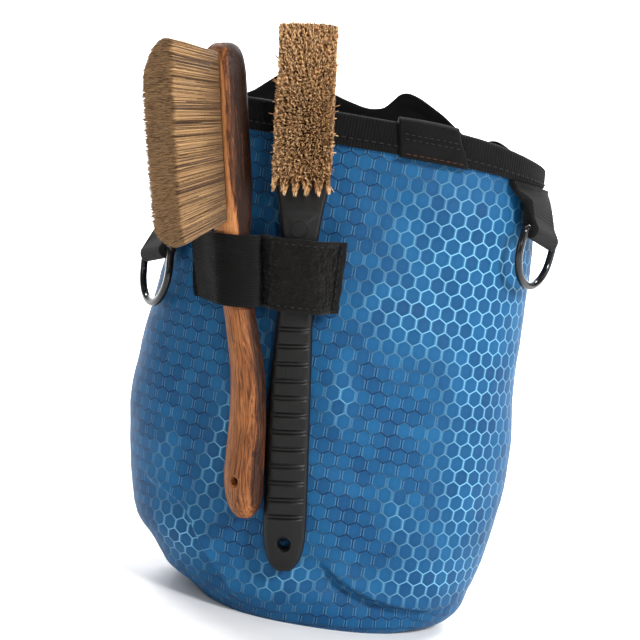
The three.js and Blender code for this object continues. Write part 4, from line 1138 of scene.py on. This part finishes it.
# Brushes
WOOD_LENGTH, WOOD_WIDTH, WOOD_THICKNESS = 187.0, 20.0, 14.5
GRIP_LENGTH, GRIP_WIDTH, GRIP_THICKNESS = 215.5, 16.4, 9.4
FLAT_SHARE = 0.8
WOOD_SECTIONS = np.array([
    (0.0, 0.34, 0.38, 2), (0.012, 0.58, 0.66, 2), (0.035, 0.79, 0.9, 2), (0.075, 0.88, 1.03, 2),
    (0.12, 0.88, 1.04, 2), (0.2, 0.82, 0.99, 2), (0.3, 0.73, 0.92, 2), (0.43, 0.62, 0.84, 2),
    (0.55, 0.62, 0.85, 2.1), (0.595, 0.69, 0.88, 2.2), (0.63, 0.82, 0.93, 2.4), (0.67, 0.93, 0.98, 2.7),
    (0.71, 1.0, 1.0, 3), (0.925, 1.0, 1.0, 3), (0.955, 0.95, 0.98, 2.8), (0.978, 0.84, 0.9, 2.6),
    (0.992, 0.64, 0.76, 2.4), (1.0, 0.36, 0.5, 2.2),
], float)
GRIP_SECTIONS = np.array([
    (0.0, 0.38, 0.4, 2.2), (0.01, 0.64, 0.66, 2.2), (0.03, 0.88, 0.88, 2.4), (0.06, 1.02, 0.97, 2.6),
    (0.1, 1.06, 1.0, 2.8), (0.33, 1.01, 1.0, 2.8), (0.49, 0.87, 0.98, 2.8), (0.6, 0.84, 0.94, 2.8),
    (0.62, 0.9, 0.94, 2.8), (0.66, 1.03, 0.9, 3), (0.7, 1.2, 0.87, 3.3), (0.718, 1.32, 0.86, 3.4),
    (0.75, 1.35, 0.84, 3.4), (0.97, 1.3, 0.84, 3.4), (1.0, 1.05, 0.76, 3),
], float)

# How far each handle's middle line is bowed to the right, at distances from its tail
WOOD_BOW = np.array([(0, 0), (16, 0.3), (40, 2.7), (60, 3.4), (75, 2.0), (88, 0.6), (113, -0.4), (150, -1.3),
                     (187, -1.5)], float)
GRIP_BOW = np.array([(0, -0.9), (30, -1.1), (72, -1.4), (100, -0.9), (120, -0.4), (140, -0.3), (216, 0)], float)


def placing(tail, lean, roll):
    """The turn and place of a brush that stands along Z in its own frame."""
    lean, roll = math.radians(-lean), math.radians(-roll)
    about_y = np.array([
        (math.cos(lean), 0, math.sin(lean)), (0, 1, 0), (-math.sin(lean), 0, math.cos(lean)),
    ])
    about_z = np.array([
        (math.cos(roll), -math.sin(roll), 0), (math.sin(roll), math.cos(roll), 0), (0, 0, 1),
    ])
    turned = about_y @ about_z

    def place(points, bow=None):
        points = np.asarray(points, float)
        placed = points @ turned.T + np.array(tail)
        if bow is not None:
            placed[..., 0] += read(bow, points[..., 2], 1)
        return placed

    return place


WOOD_PLACE = placing((-26.0, -57.1452, 44.0), 11.9, 57.0)
WOOD_HOLE_PLACE = placing((-26.0, -57.1452, 44.0), 11.9, 28.0)
GRIP_PLACE = placing((-6.3, -55.3222, 24.6), 7.2, 0.0)


def handle_rings(table, length, width, thickness, distances, sides, head_from, shape):
    along = np.clip(distances / length, 0, 1)
    wide = read(table, along, 1) * width / 2
    thick = read(table, along, 2) * thickness / 2
    square = read(table, along, 3)
    turn = 2 * math.pi * (np.arange(sides) + 0.5) / sides
    x = wide[:, None] * signed_power(np.cos(turn)[None], 2 / square[:, None])
    y = thick[:, None] * signed_power(np.sin(turn)[None], 2 / square[:, None])
    flat = 1 - (1 - FLAT_SHARE) * smoothstep(head_from - 0.012, head_from + 0.012, along)
    y = np.maximum(y, -(flat * thick)[:, None])
    z = np.broadcast_to(distances[:, None], x.shape)
    inset = shape(x / wide[:, None], y / thick[:, None], z)
    size = np.maximum(np.hypot(x, y), 1e-6)
    return np.stack([x * (1 - inset / size), y * (1 - inset / size), z], -1)


def drill(place, radius, from_tail, reach, flare):
    """A cutter for a round hole with rounded rims, along a brush's own Y."""
    sides = 36
    turn = 2 * math.pi * np.arange(sides) / sides
    surface = reach
    profile = [(-surface - 4, radius + flare + 4.2), (-surface - 0.2, radius + flare + 0.2),
               (-surface + flare * 0.5, radius + flare * 0.35), (-surface + flare * 1.2, radius)]
    profile += [(-y, r) for y, r in reversed(profile)]
    rings = np.array([
        np.stack([r * np.cos(turn), np.full(sides, y), from_tail + r * np.sin(turn)], -1) for y, r in profile
    ])
    return loft("drill", place(rings))


def wood_handle():
    ends = 6.0 * np.linspace(0, 1, 14) ** 1.7
    distances = np.concatenate([ends, np.linspace(6.5, WOOD_LENGTH - 6.5, 220), WOOD_LENGTH - ends[::-1]])

    def shape(x, y, z):
        dents = 0.1 * waves(np.arctan2(y, x) * 8, z, 41, 60, 20)
        lip = 0.5 * smoothstep(0.35, 0.9, np.abs(x)) * smoothstep(-0.65, -0.8, y) * (z > WOOD_LENGTH * 0.66)
        return dents + lip

    rings = handle_rings(WOOD_SECTIONS, WOOD_LENGTH, WOOD_WIDTH, WOOD_THICKNESS, distances, 72, 0.65, shape)
    y, z = rings[..., 1], rings[..., 2]
    head = smoothstep(0.56, 0.62, z / WOOD_LENGTH)
    border = -4.9 + 3.6 * np.clip((134.0 - z) / 20.0, 0.0, 1.0)
    warm = head * smoothstep(border + 0.4, border - 0.4, y)
    # x_side finds the handle's right side, which the mark below gives painted shade because it faces away from the
    # light.
    placed = WOOD_PLACE(rings, WOOD_BOW)[..., 0]
    x_side = placed - placed.mean(1, keepdims=True)
    # The darkening mark: the head darker towards its back outside the warm band, plus painted shade on the right side
    # of the handle.
    marks = {"across": rings[..., 0] + 40, "through": y + 20, "along": z, "warm": warm,
             "dark_and_painted_shade": head * (1 - warm) * (0.35 + 0.65 * smoothstep(-4.0, 0.5, y))
             + 0.8 * (1 - head) * smoothstep(2.2, 5.0, x_side)}
    piece = loft("wood_brush_handle_body", WOOD_PLACE(rings, WOOD_BOW), marks=marks)
    carve(piece, drill(WOOD_HOLE_PLACE, 1.6, 15.5, WOOD_THICKNESS * 0.5, 0.4))
    settle(piece, "bag", "wood", WOOD, "wood_brush_handle")


GROOVES = 22.6 + 6.85 * np.arange(12)
GROOVE_DEPTH = 0.5


def grip_handle():
    ends = 5.0 * np.linspace(0, 1, 14) ** 1.7
    distances = np.concatenate([
        ends, np.arange(5.4, 19.5, 0.7), np.arange(19.8, 102, 0.23), np.arange(102.5, GRIP_LENGTH - 5.3, 0.8),
        GRIP_LENGTH - ends[::-1],
    ])

    def shape(x, y, z):
        nearest = np.abs(z[..., None] - GROOVES).min(-1)
        line = np.exp(-(((nearest - 0.72) / 0.3) ** 2))
        sides = smoothstep(0.9, 0.74, np.abs(x))
        flats = 0.04 * waves(np.arctan2(y, x) * 6, z, 43, 50, 16)
        return GROOVE_DEPTH * line * sides + flats

    rings = handle_rings(GRIP_SECTIONS, GRIP_LENGTH, GRIP_WIDTH, GRIP_THICKNESS, distances, 64, 0.66, shape)
    piece = loft("grip_brush_handle_body", GRIP_PLACE(rings, GRIP_BOW))
    carve(piece, drill(lambda spots: GRIP_PLACE(spots, GRIP_BOW), 2.3, 11.5, GRIP_THICKNESS * 0.47, 0.6))
    settle(piece, "bag", "plastic", PLASTIC, "grip_brush_handle")

    # A faint moulded ring on the neck, and a raised rim round the hole
    turn = 2 * math.pi * np.arange(56) / 56
    small = 2 * math.pi * np.arange(8) / 8
    parts = []
    for centre_z, radius, fat, front in ((137.5, 3.1, 0.22, -4.42), (11.5, 3.15, 0.3, -4.6)):
        ring = np.stack([
            (radius + fat * np.cos(small))[None] * np.cos(turn)[:, None],
            front + 0.75 * fat * np.broadcast_to(np.sin(small), (56, 8)),
            centre_z + (radius + fat * np.cos(small))[None] * np.sin(turn)[:, None],
        ], -1)
        parts.append(GRIP_PLACE(ring, GRIP_BOW))
    neck = loft("grip_brush_moulded_ring", parts[0], closed=True)
    settle(neck, "bag", "plastic", PLASTIC)
    rim = loft("grip_brush_hole_rim", parts[1], closed=True)
    settle(rim, "bag", "plastic", PLASTIC)


# Bristle fields from root to tips: share of the length, width, low and high end as shares of the brush
WOOD_BRISTLES = np.array([(0, 0.78, 0.627, 0.984), (0.5, 0.92, 0.605, 0.999), (1, 1.06, 0.584, 1.009)], float)
GRIP_BRISTLES = np.array([(0, 1.14, 0.728, 0.987), (0.5, 1.25, 0.722, 0.996), (1, 1.36, 0.717, 1.003)], float)


STRANDS = 14500


def bristles(name, node, place, table, length, width, bristle_length, seat, options):
    """A field of single bristles that gather in small clumps, and a dark core inside it as painted shade deep in the
    field.
    """
    draw = np.random.default_rng(options["seed"])
    count = options["count"]
    a, b = draw.uniform(-1, 1, (2, count))
    side = draw.uniform(0, 1, count)
    a = np.where(side < 0.14, np.sign(a) * (1 - 0.04 * np.abs(a)), a)
    b = np.where(side > 0.95, np.sign(b) * (1 - 0.02 * np.abs(b)), b)
    b = b * (1 - 0.03 * np.abs(a) ** 4)

    def field(out, a, b):
        wide, low, high = (read(table, np.full(a.shape, out), k) for k in (1, 2, 3))
        return a * wide * width / 2, (low + high) / 2 * length + b * (high - low) / 2 * length

    root_x, root_z = field(0.0, a * 0.97, b * 0.985)
    middle_x, middle_z = field(0.55, a, b)
    tip_x, tip_z = field(1.0, a, b)
    lump = waves(tip_x, tip_z, options["seed"] + 3, options["clump"], 0.45 * options["clump"], 16) / 0.5
    streak = waves(tip_x, tip_z, options["seed"] + 4, options["clump"] * 0.7, 0.3 * options["clump"], 16) / 0.5
    short = options["uneven"] * np.abs(draw.normal(0, 1, count))
    ends = options["dome"] * np.abs(a) ** 4 + options["end_dome"] * np.abs(b) ** 8
    reach = bristle_length * (1 - short - ends) + lump * options["relief"]
    tip = np.stack([tip_x + draw.normal(0, options["jitter"], count), seat - reach,
                    tip_z + draw.normal(0, options["jitter"], count)], -1)
    tip[:, 0] += options["wave"] * waves(tip_z, tip_x * 3, options["seed"] + 5, 26, 9)

    # The lowest bristles part into pointed tufts
    tufts = options["tufts"]
    if tufts:
        nearest = np.round((a + 1) / 2 * (tufts - 1)) / (tufts - 1) * 2 - 1
        low = smoothstep(-0.84, -1.0, b)
        close = 1 - np.clip(np.abs(a - nearest) * (tufts - 1), 0, 1)
        half = table[-1, 1] * width / 2
        tip[:, 0] += (nearest - a) * half * 0.6 * low
        tip[:, 2] -= low * options["droop"] * (0.3 + 0.7 * close)
        tip[:, 1] += low * bristle_length * 0.35
        middle_x = middle_x + (nearest - a) * half * 0.25 * low
    far = ((options["far"] * a + 1) / 2) ** 2.4 * abs(options["far"])
    tip[:, 2] -= far * (np.clip(b, 0, 1) ** 2 * 11.0 + np.clip(-b, 0, 1) ** 2 * -5.0)
    tip[:, 0] += options["far"] * far * 2.2 * (1 - 0.6 * np.abs(b - 0.3))
    stray = (draw.uniform(0, 1, count) < options["stray"]) & (np.abs(a) > 0.9)
    tip[:, 0] += np.where(stray, np.sign(a) * draw.uniform(0.8, 3.0, count), 0)
    tip[:, 1] += np.where(stray, draw.uniform(0, 4, count), 0)
    root = np.stack([root_x, np.full(count, seat), root_z], -1)
    middle = np.stack([middle_x, (seat + tip[:, 1]) / 2 - 0.05 * bristle_length, middle_z], -1)
    middle += draw.normal(0, options["crook"], (count, 3)) * np.array([1, 0.2, 1])
    axis = unit(tip - root)
    aside = unit(np.cross(axis, np.array([0.3, 0.2, 1.0])))
    other = np.cross(axis, aside)
    radius = options["radius"] * draw.uniform(0.7, 1.3, count)
    corner = 2 * math.pi * np.arange(3) / 3
    ring = aside[:, None] * np.cos(corner)[None, :, None] + other[:, None] * np.sin(corner)[None, :, None]
    near = middle * 0.2 + root * 0.04 + tip * 0.76
    points = np.concatenate([
        root[:, None] + ring * radius[:, None, None],
        near[:, None] + ring * radius[:, None, None],
        tip[:, None],
    ], 1)
    faces = [(0, 1, 4, 3), (1, 2, 5, 4), (2, 0, 3, 5), (3, 4, 6), (4, 5, 6), (5, 3, 6)]
    # A strand's own random colour, plus painted shade between clumps: strands in low clumps and streaks are darker.
    tint_and_shade = np.clip(0.52 + 0.2 * draw.normal(0, 1, count) + options["contrast"] * (streak + 0.5 * lump), 0, 1)
    marks = {"tint_and_shade": np.repeat(tint_and_shade, 7), "reach": np.tile([0, 0, 0, 0.85, 0.85, 0.85, 1.0], count)}
    every = (np.arange(count) * 7)[:, None, None]
    flat = place(points, options["bow"]).reshape(-1, 3)
    quads = (np.array(faces[:3])[None] + every).reshape(-1, 4).tolist()
    ends = (np.array(faces[3:])[None] + every).reshape(-1, 3).tolist()
    piece = mesh_object(name, flat, quads + ends, None, marks)
    settle(piece, "bag", "bristle", options["material"], node)

    # Core: a dark solid that stands in for the shade deep among the bristles
    sides, inset = 96, options["inset"]
    turn = 2 * math.pi * np.arange(sides) / sides
    rings = []
    for out in np.linspace(0, options["core"], 12):
        wide, low, high = (read(table, np.array([out]), k)[0] for k in (1, 2, 3))
        half_x, half_z = wide * width / 2 - inset, (high - low) / 2 * length - inset
        x = half_x * signed_power(np.cos(turn), 2 / 5)
        z = (low + high) / 2 * length + half_z * signed_power(np.sin(turn), 2 / 5)
        rough = 1 + 0.012 * np.cos(turn * 31)
        rings.append(np.stack([x * rough, np.full(sides, seat - out * bristle_length), z], -1))
    rings = np.array(rings)
    core = loft(f"{name}_core", place(rings, options["bow"]), marks={
        "tint_and_shade": np.full(rings.shape[:2], 0.5), "reach": np.full(rings.shape[:2], 0.5)})
    settle(core, "bag", "bristle", SHADE_CORE_BRISTLE)


def wood_bristles():
    bristles(
        "wood_brush_strands", "wood_brush_bristles", WOOD_PLACE, WOOD_BRISTLES, WOOD_LENGTH, WOOD_WIDTH, 24.5,
        -(FLAT_SHARE * WOOD_THICKNESS) / 2 - GAP,
        {"bow": WOOD_BOW, "far": -1, "seed": 51, "count": STRANDS, "clump": 1.7, "relief": 0.3,
         "uneven": 0.01, "dome": 0.03, "end_dome": 0.06,
         "jitter": 0.22, "wave": 0.3, "tufts": 0, "droop": 0.0, "stray": 0.003, "crook": 0.22, "radius": 0.17,
         "contrast": 0.17, "material": PALE_BRISTLE, "inset": 1.6, "core": 0.84})


def grip_bristles():
    thick = read(GRIP_SECTIONS, np.array([0.85]), 2)[0] * GRIP_THICKNESS / 2
    bristles(
        "grip_brush_strands", "grip_brush_bristles", GRIP_PLACE, GRIP_BRISTLES, GRIP_LENGTH, GRIP_WIDTH, 19.0,
        -FLAT_SHARE * thick - GAP,
        {"bow": GRIP_BOW, "far": 0, "seed": 61, "count": STRANDS, "clump": 2.2, "relief": 0.7,
         "uneven": 0.02, "dome": 0.04, "end_dome": 0.03,
         "jitter": 0.3, "wave": 0.35, "tufts": 6, "droop": 4.2, "stray": 0.012, "crook": 0.3, "radius": 0.215,
         "contrast": 0.26, "material": WARM_BRISTLE, "inset": 2.0, "core": 0.7})


# Strap over both handles
STRAP_HEIGHT, STRAP_THICKNESS, STRAP_CENTRE, STRAP_RISE = 28.2, 1.8, 142.0, 0.08
PATCH_THICKNESS, PATCH_MARGIN, PATCH_SHIFT = 1.4, 0.5, 2.2
ELASTIC_STATIONS, ELASTIC_ROWS, PATCH_STATIONS, PATCH_ROWS = 220, 110, 120, 96
WOOD_CROSSING = (-46.4411, 6.021, math.radians(11.9))
GRIP_CROSSING = (-21.0047, 6.3398, math.radians(7.2))

# Where the strap dips between the two handles
DIP_X = -35.4
STRAP_LINE = [
    (-64.4411, -32.7497), (-54.0377, -59.1807), (-52.4658, -62.2005), (-49.7648, -64.273), (-46.4411, -65.0098),
    (-43.1174, -64.273), (-40.4165, -62.2005), (-38.7, -59.1807), (-36.3, -50.5), (-34.4, -50.5),
    (-30.4, -57.4), (-29.0, -59.9), (-26.2, -61.3), (-21.0047, -61.8), (-16.4287, -61.5),
    (-13.4, -60.2), (-10.6, -58.2), (-8.0, -56.2), (-5.2, -54.2), (-2.3, -52.4),
]


def strap_line():
    """A dense centripetal curve through the strap's points, with the reach along it."""
    given = np.array(STRAP_LINE)
    points = np.vstack([2 * given[0] - given[1], given, 2 * given[-1] - given[-2]])
    found = []
    for k in range(1, len(points) - 2):
        p0, p1, p2, p3 = points[k - 1:k + 3]
        t0, t1, t2 = (np.linalg.norm(b - a) ** 0.5 for a, b in ((p0, p1), (p1, p2), (p2, p3)))
        m1 = ((p1 - p0) / t0 - (p2 - p0) / (t0 + t1) + (p2 - p1) / t1) * t1
        m2 = ((p2 - p1) / t1 - (p3 - p1) / (t1 + t2) + (p3 - p2) / t2) * t1
        t = np.linspace(0, 1, 40, endpoint=False)[:, None]
        square, cube = -3 * p1 + 3 * p2 - 2 * m1 - m2, 2 * p1 - 2 * p2 + m1 + m2
        found.append(p1 + m1 * t + square * t ** 2 + cube * t ** 3)
    line = np.vstack([*found, given[-1:]])
    reach = np.concatenate([[0.0], np.cumsum(np.linalg.norm(np.diff(line, axis=0), axis=1))])
    return line, reach / reach[-1]


def band(start, end, shift, thickness, height, stations, rows, surface):
    """A band along the strap's line. surface gives how far its face stands out, by place along and across."""
    line, reach = strap_line()
    at = np.linspace(start, end, stations)
    pick = lambda share: np.stack([np.interp(share, reach, line[:, k]) for k in range(2)], -1)
    point = pick(at)
    tangent = unit(pick(at + 0.004) - pick(at - 0.004))
    out = np.stack([tangent[:, 1], -tangent[:, 0], np.zeros(stations)], -1)
    share = smoothstep(WOOD_CROSSING[0] + WOOD_CROSSING[1], GRIP_CROSSING[0] - GRIP_CROSSING[1], point[:, 0])
    lean = WOOD_CROSSING[2] + (GRIP_CROSSING[2] - WOOD_CROSSING[2]) * share
    upward = np.stack([-np.sin(lean), np.zeros(stations), np.cos(lean)], -1)
    centre_x = (WOOD_CROSSING[0] + GRIP_CROSSING[0]) / 2
    middle = np.column_stack([point, STRAP_CENTRE + (point[:, 0] - centre_x) * STRAP_RISE])
    rise = np.linspace(-1, 1, rows)
    edge = 1 - 0.45 * np.abs(rise) ** 14
    faces = []
    for outward, order in ((1, slice(None)), (-1, slice(None, None, -1))):
        lift = surface(at[:, None], rise[None]) if outward > 0 else 0.0
        off = shift + outward * thickness / 2 * edge[None] + lift
        corner = (middle[:, None] + out[:, None] * off[..., None]
                  + upward[:, None] * (rise * height / 2)[None, :, None])
        corner[..., 0] -= (smoothstep(-16, -3, point[:, 0])[:, None] * (3.2 - 1.3 * rise[None]))
        clear = 2 * GAP + shift + (STRAP_THICKNESS + outward * thickness * edge[None]) / 2 + lift
        corner[..., 1] = np.minimum(corner[..., 1], -front_reach(corner[..., 0], corner[..., 2]) - clear)
        faces.append(corner[:, order])
    return np.concatenate(faces, 1), faces[0], out


def strap():
    def elastic(at, rise):
        ribs = 0.3 * (np.abs(np.sin(rise * math.pi * 13.5)) - 0.6)
        knit = 0.1 * np.sin(at * 2 * math.pi * 82 + 2.2 * np.sin(rise * math.pi * 27))
        slack = 0.2 * waves(at * 90, rise * 14, 71, 26, 10)
        return ribs + knit + slack

    line, reach = strap_line()
    dip = reach[np.argmax(line[:, 0] > DIP_X)]
    rings, face, out = band(0, 0.985, 0, STRAP_THICKNESS, STRAP_HEIGHT, ELASTIC_STATIONS, ELASTIC_ROWS, elastic)
    piece = loft("brush_strap_elastic", rings)
    settle(piece, "bag", "elastic", ELASTIC, "brush_strap")

    def loops(at, rise):
        hem = np.maximum(smoothstep(0.87, 0.93, np.abs(rise)), smoothstep(0.962, 0.975, at))
        pile = 0.3 * waves(at * 90, rise * 15.5, 73, 6, 2.0) + 0.22 * waves(at * 90, rise * 15.5, 75, 2.2, 0.9)
        groove = np.exp(-((np.abs(rise) - 0.855) / 0.02) ** 2) + np.exp(-((at - 0.957) / 0.005) ** 2)
        return pile * (1 - 0.8 * hem) + 0.3 * hem - 0.3 * groove

    height = STRAP_HEIGHT + PATCH_MARGIN
    rings, face, out = band(dip, 1.0, PATCH_SHIFT, PATCH_THICKNESS, height, PATCH_STATIONS, PATCH_ROWS, loops)
    rings[..., 0] += 0.15 * np.sin(rings[..., 2] * 0.55) * (np.linspace(0, 1, PATCH_STATIONS) ** 8)[:, None]
    piece = loft("strap_patch_tape", rings)
    settle(piece, "bag", "elastic", FASTENER, "strap_patch")

    outward = np.broadcast_to(out[:, None], face.shape)
    top, bottom, end = 7, -8, -10
    lines = [
        (face[4:end, top], outward[4:end, top]),
        (face[4:end, bottom], outward[4:end, bottom]),
        (face[end, top:bottom], outward[end, top:bottom]),
    ]
    stitches("strap_patch_stitches", lines, 2.1, 0.7, 0.6, BLACK_THREAD, slot="elastic", sink=0.0)

    # Loose fibres that stand up from the patch
    draw = np.random.default_rng(81)
    count = 5200
    i = draw.integers(4, face.shape[0] - 4, count)
    j = draw.integers(6, face.shape[1] - 6, count)
    foot = face[i, j] + draw.normal(0, 0.15, (count, 3)) * np.array([1, 0, 1])
    normal = outward[i, j]
    lean = draw.normal(0, 0.5, (count, 3))
    tip = foot + normal * draw.uniform(0.25, 0.6, count)[:, None] + lean * 0.55
    side = unit(np.cross(tip - foot, draw.normal(0, 1, (count, 3)))) * 0.05
    middle = (foot + tip) / 2 + side * 2 + normal * 0.15
    points = np.stack([foot - side, foot + side, middle - side, middle + side, tip], 1)
    fuzz = joined("strap_patch_fibres", points, [(0, 1, 3), (0, 3, 2), (2, 3, 4)])
    settle(fuzz, "bag", "elastic", FASTENER)


def stage_and_lights():
    steps = 40
    back, radius, wide, tall = 2.2, 1.2, 6.0, 4.0
    profile = [(-4.0, 0.0), (back, 0.0)]
    bend = np.linspace(0, math.pi / 2, steps)
    profile += [(back + radius * math.sin(a), radius * (1 - math.cos(a))) for a in bend]
    profile.append((back + radius, tall))
    points = [(side * wide, y, z) for y, z in profile for side in (-1, 1)]
    faces = [(2 * k, 2 * k + 1, 2 * k + 3, 2 * k + 2) for k in range(len(profile) - 1)]
    floor = mesh_object("floor", np.array(points) / MM, faces)
    floor.data.materials.append(floor_material())

    world = bpy.data.worlds.new("studio")
    world.use_nodes = True
    world.node_tree.nodes["Background"].inputs[0].default_value = (1.0, 1.0, 1.0, 1.0)
    world.node_tree.nodes["Background"].inputs[1].default_value = 0.17
    scene.world = world
    for name, place, aim, size, watts in (
        ("key", (0.62, -0.8, 0.75), (-0.005, -0.02, 0.12), 0.22, 13.0),
        ("fill", (-0.9, -0.9, 0.35), (-0.005, -0.02, 0.12), 0.5, 1.9),
        ("top", (0.0, 0.15, 1.2), (-0.005, -0.02, 0.12), 0.8, 5.0),
        ("low_right", (0.9, -0.2, 0.3), (-0.005, -0.02, 0.12), 0.5, 2.2),
        ("glint", (0.1, -0.95, 0.42), (-0.005, -0.05, 0.08), 0.05, 1.6),
        ("backdrop_left", (-1.3, 1.2, 2.2), (-0.7, 3.2, 0.6), 1.2, 190.0),
        ("backdrop_right", (1.3, 1.2, 2.2), (0.7, 3.2, 0.6), 1.2, 190.0),
    ):
        light = bpy.data.objects.new(name, bpy.data.lights.new(name, "AREA"))
        light.data.energy = watts
        light.data.size = size
        scene.collection.objects.link(light)
        towards = unit(np.array(aim) - np.array(place))
        side = unit(np.cross(towards, np.array([0.0, 0.0, 1.0])))
        axes = np.eye(4)
        axes[:3, 0], axes[:3, 1], axes[:3, 2], axes[:3, 3] = side, np.cross(side, towards), -towards, place
        light.matrix_world = Matrix(axes.tolist())
    scene.view_settings.view_transform = "Standard"


bag_wall()
bag_base()
rim_binding()
mouth_collar()
rim_tab()
for ring_name, ring_bar in BARS.items():
    side_tab(ring_name, ring_bar)
    d_ring(ring_name, ring_bar)
wood_handle()
wood_bristles()
grip_handle()
grip_bristles()
strap()
stage_and_lights()
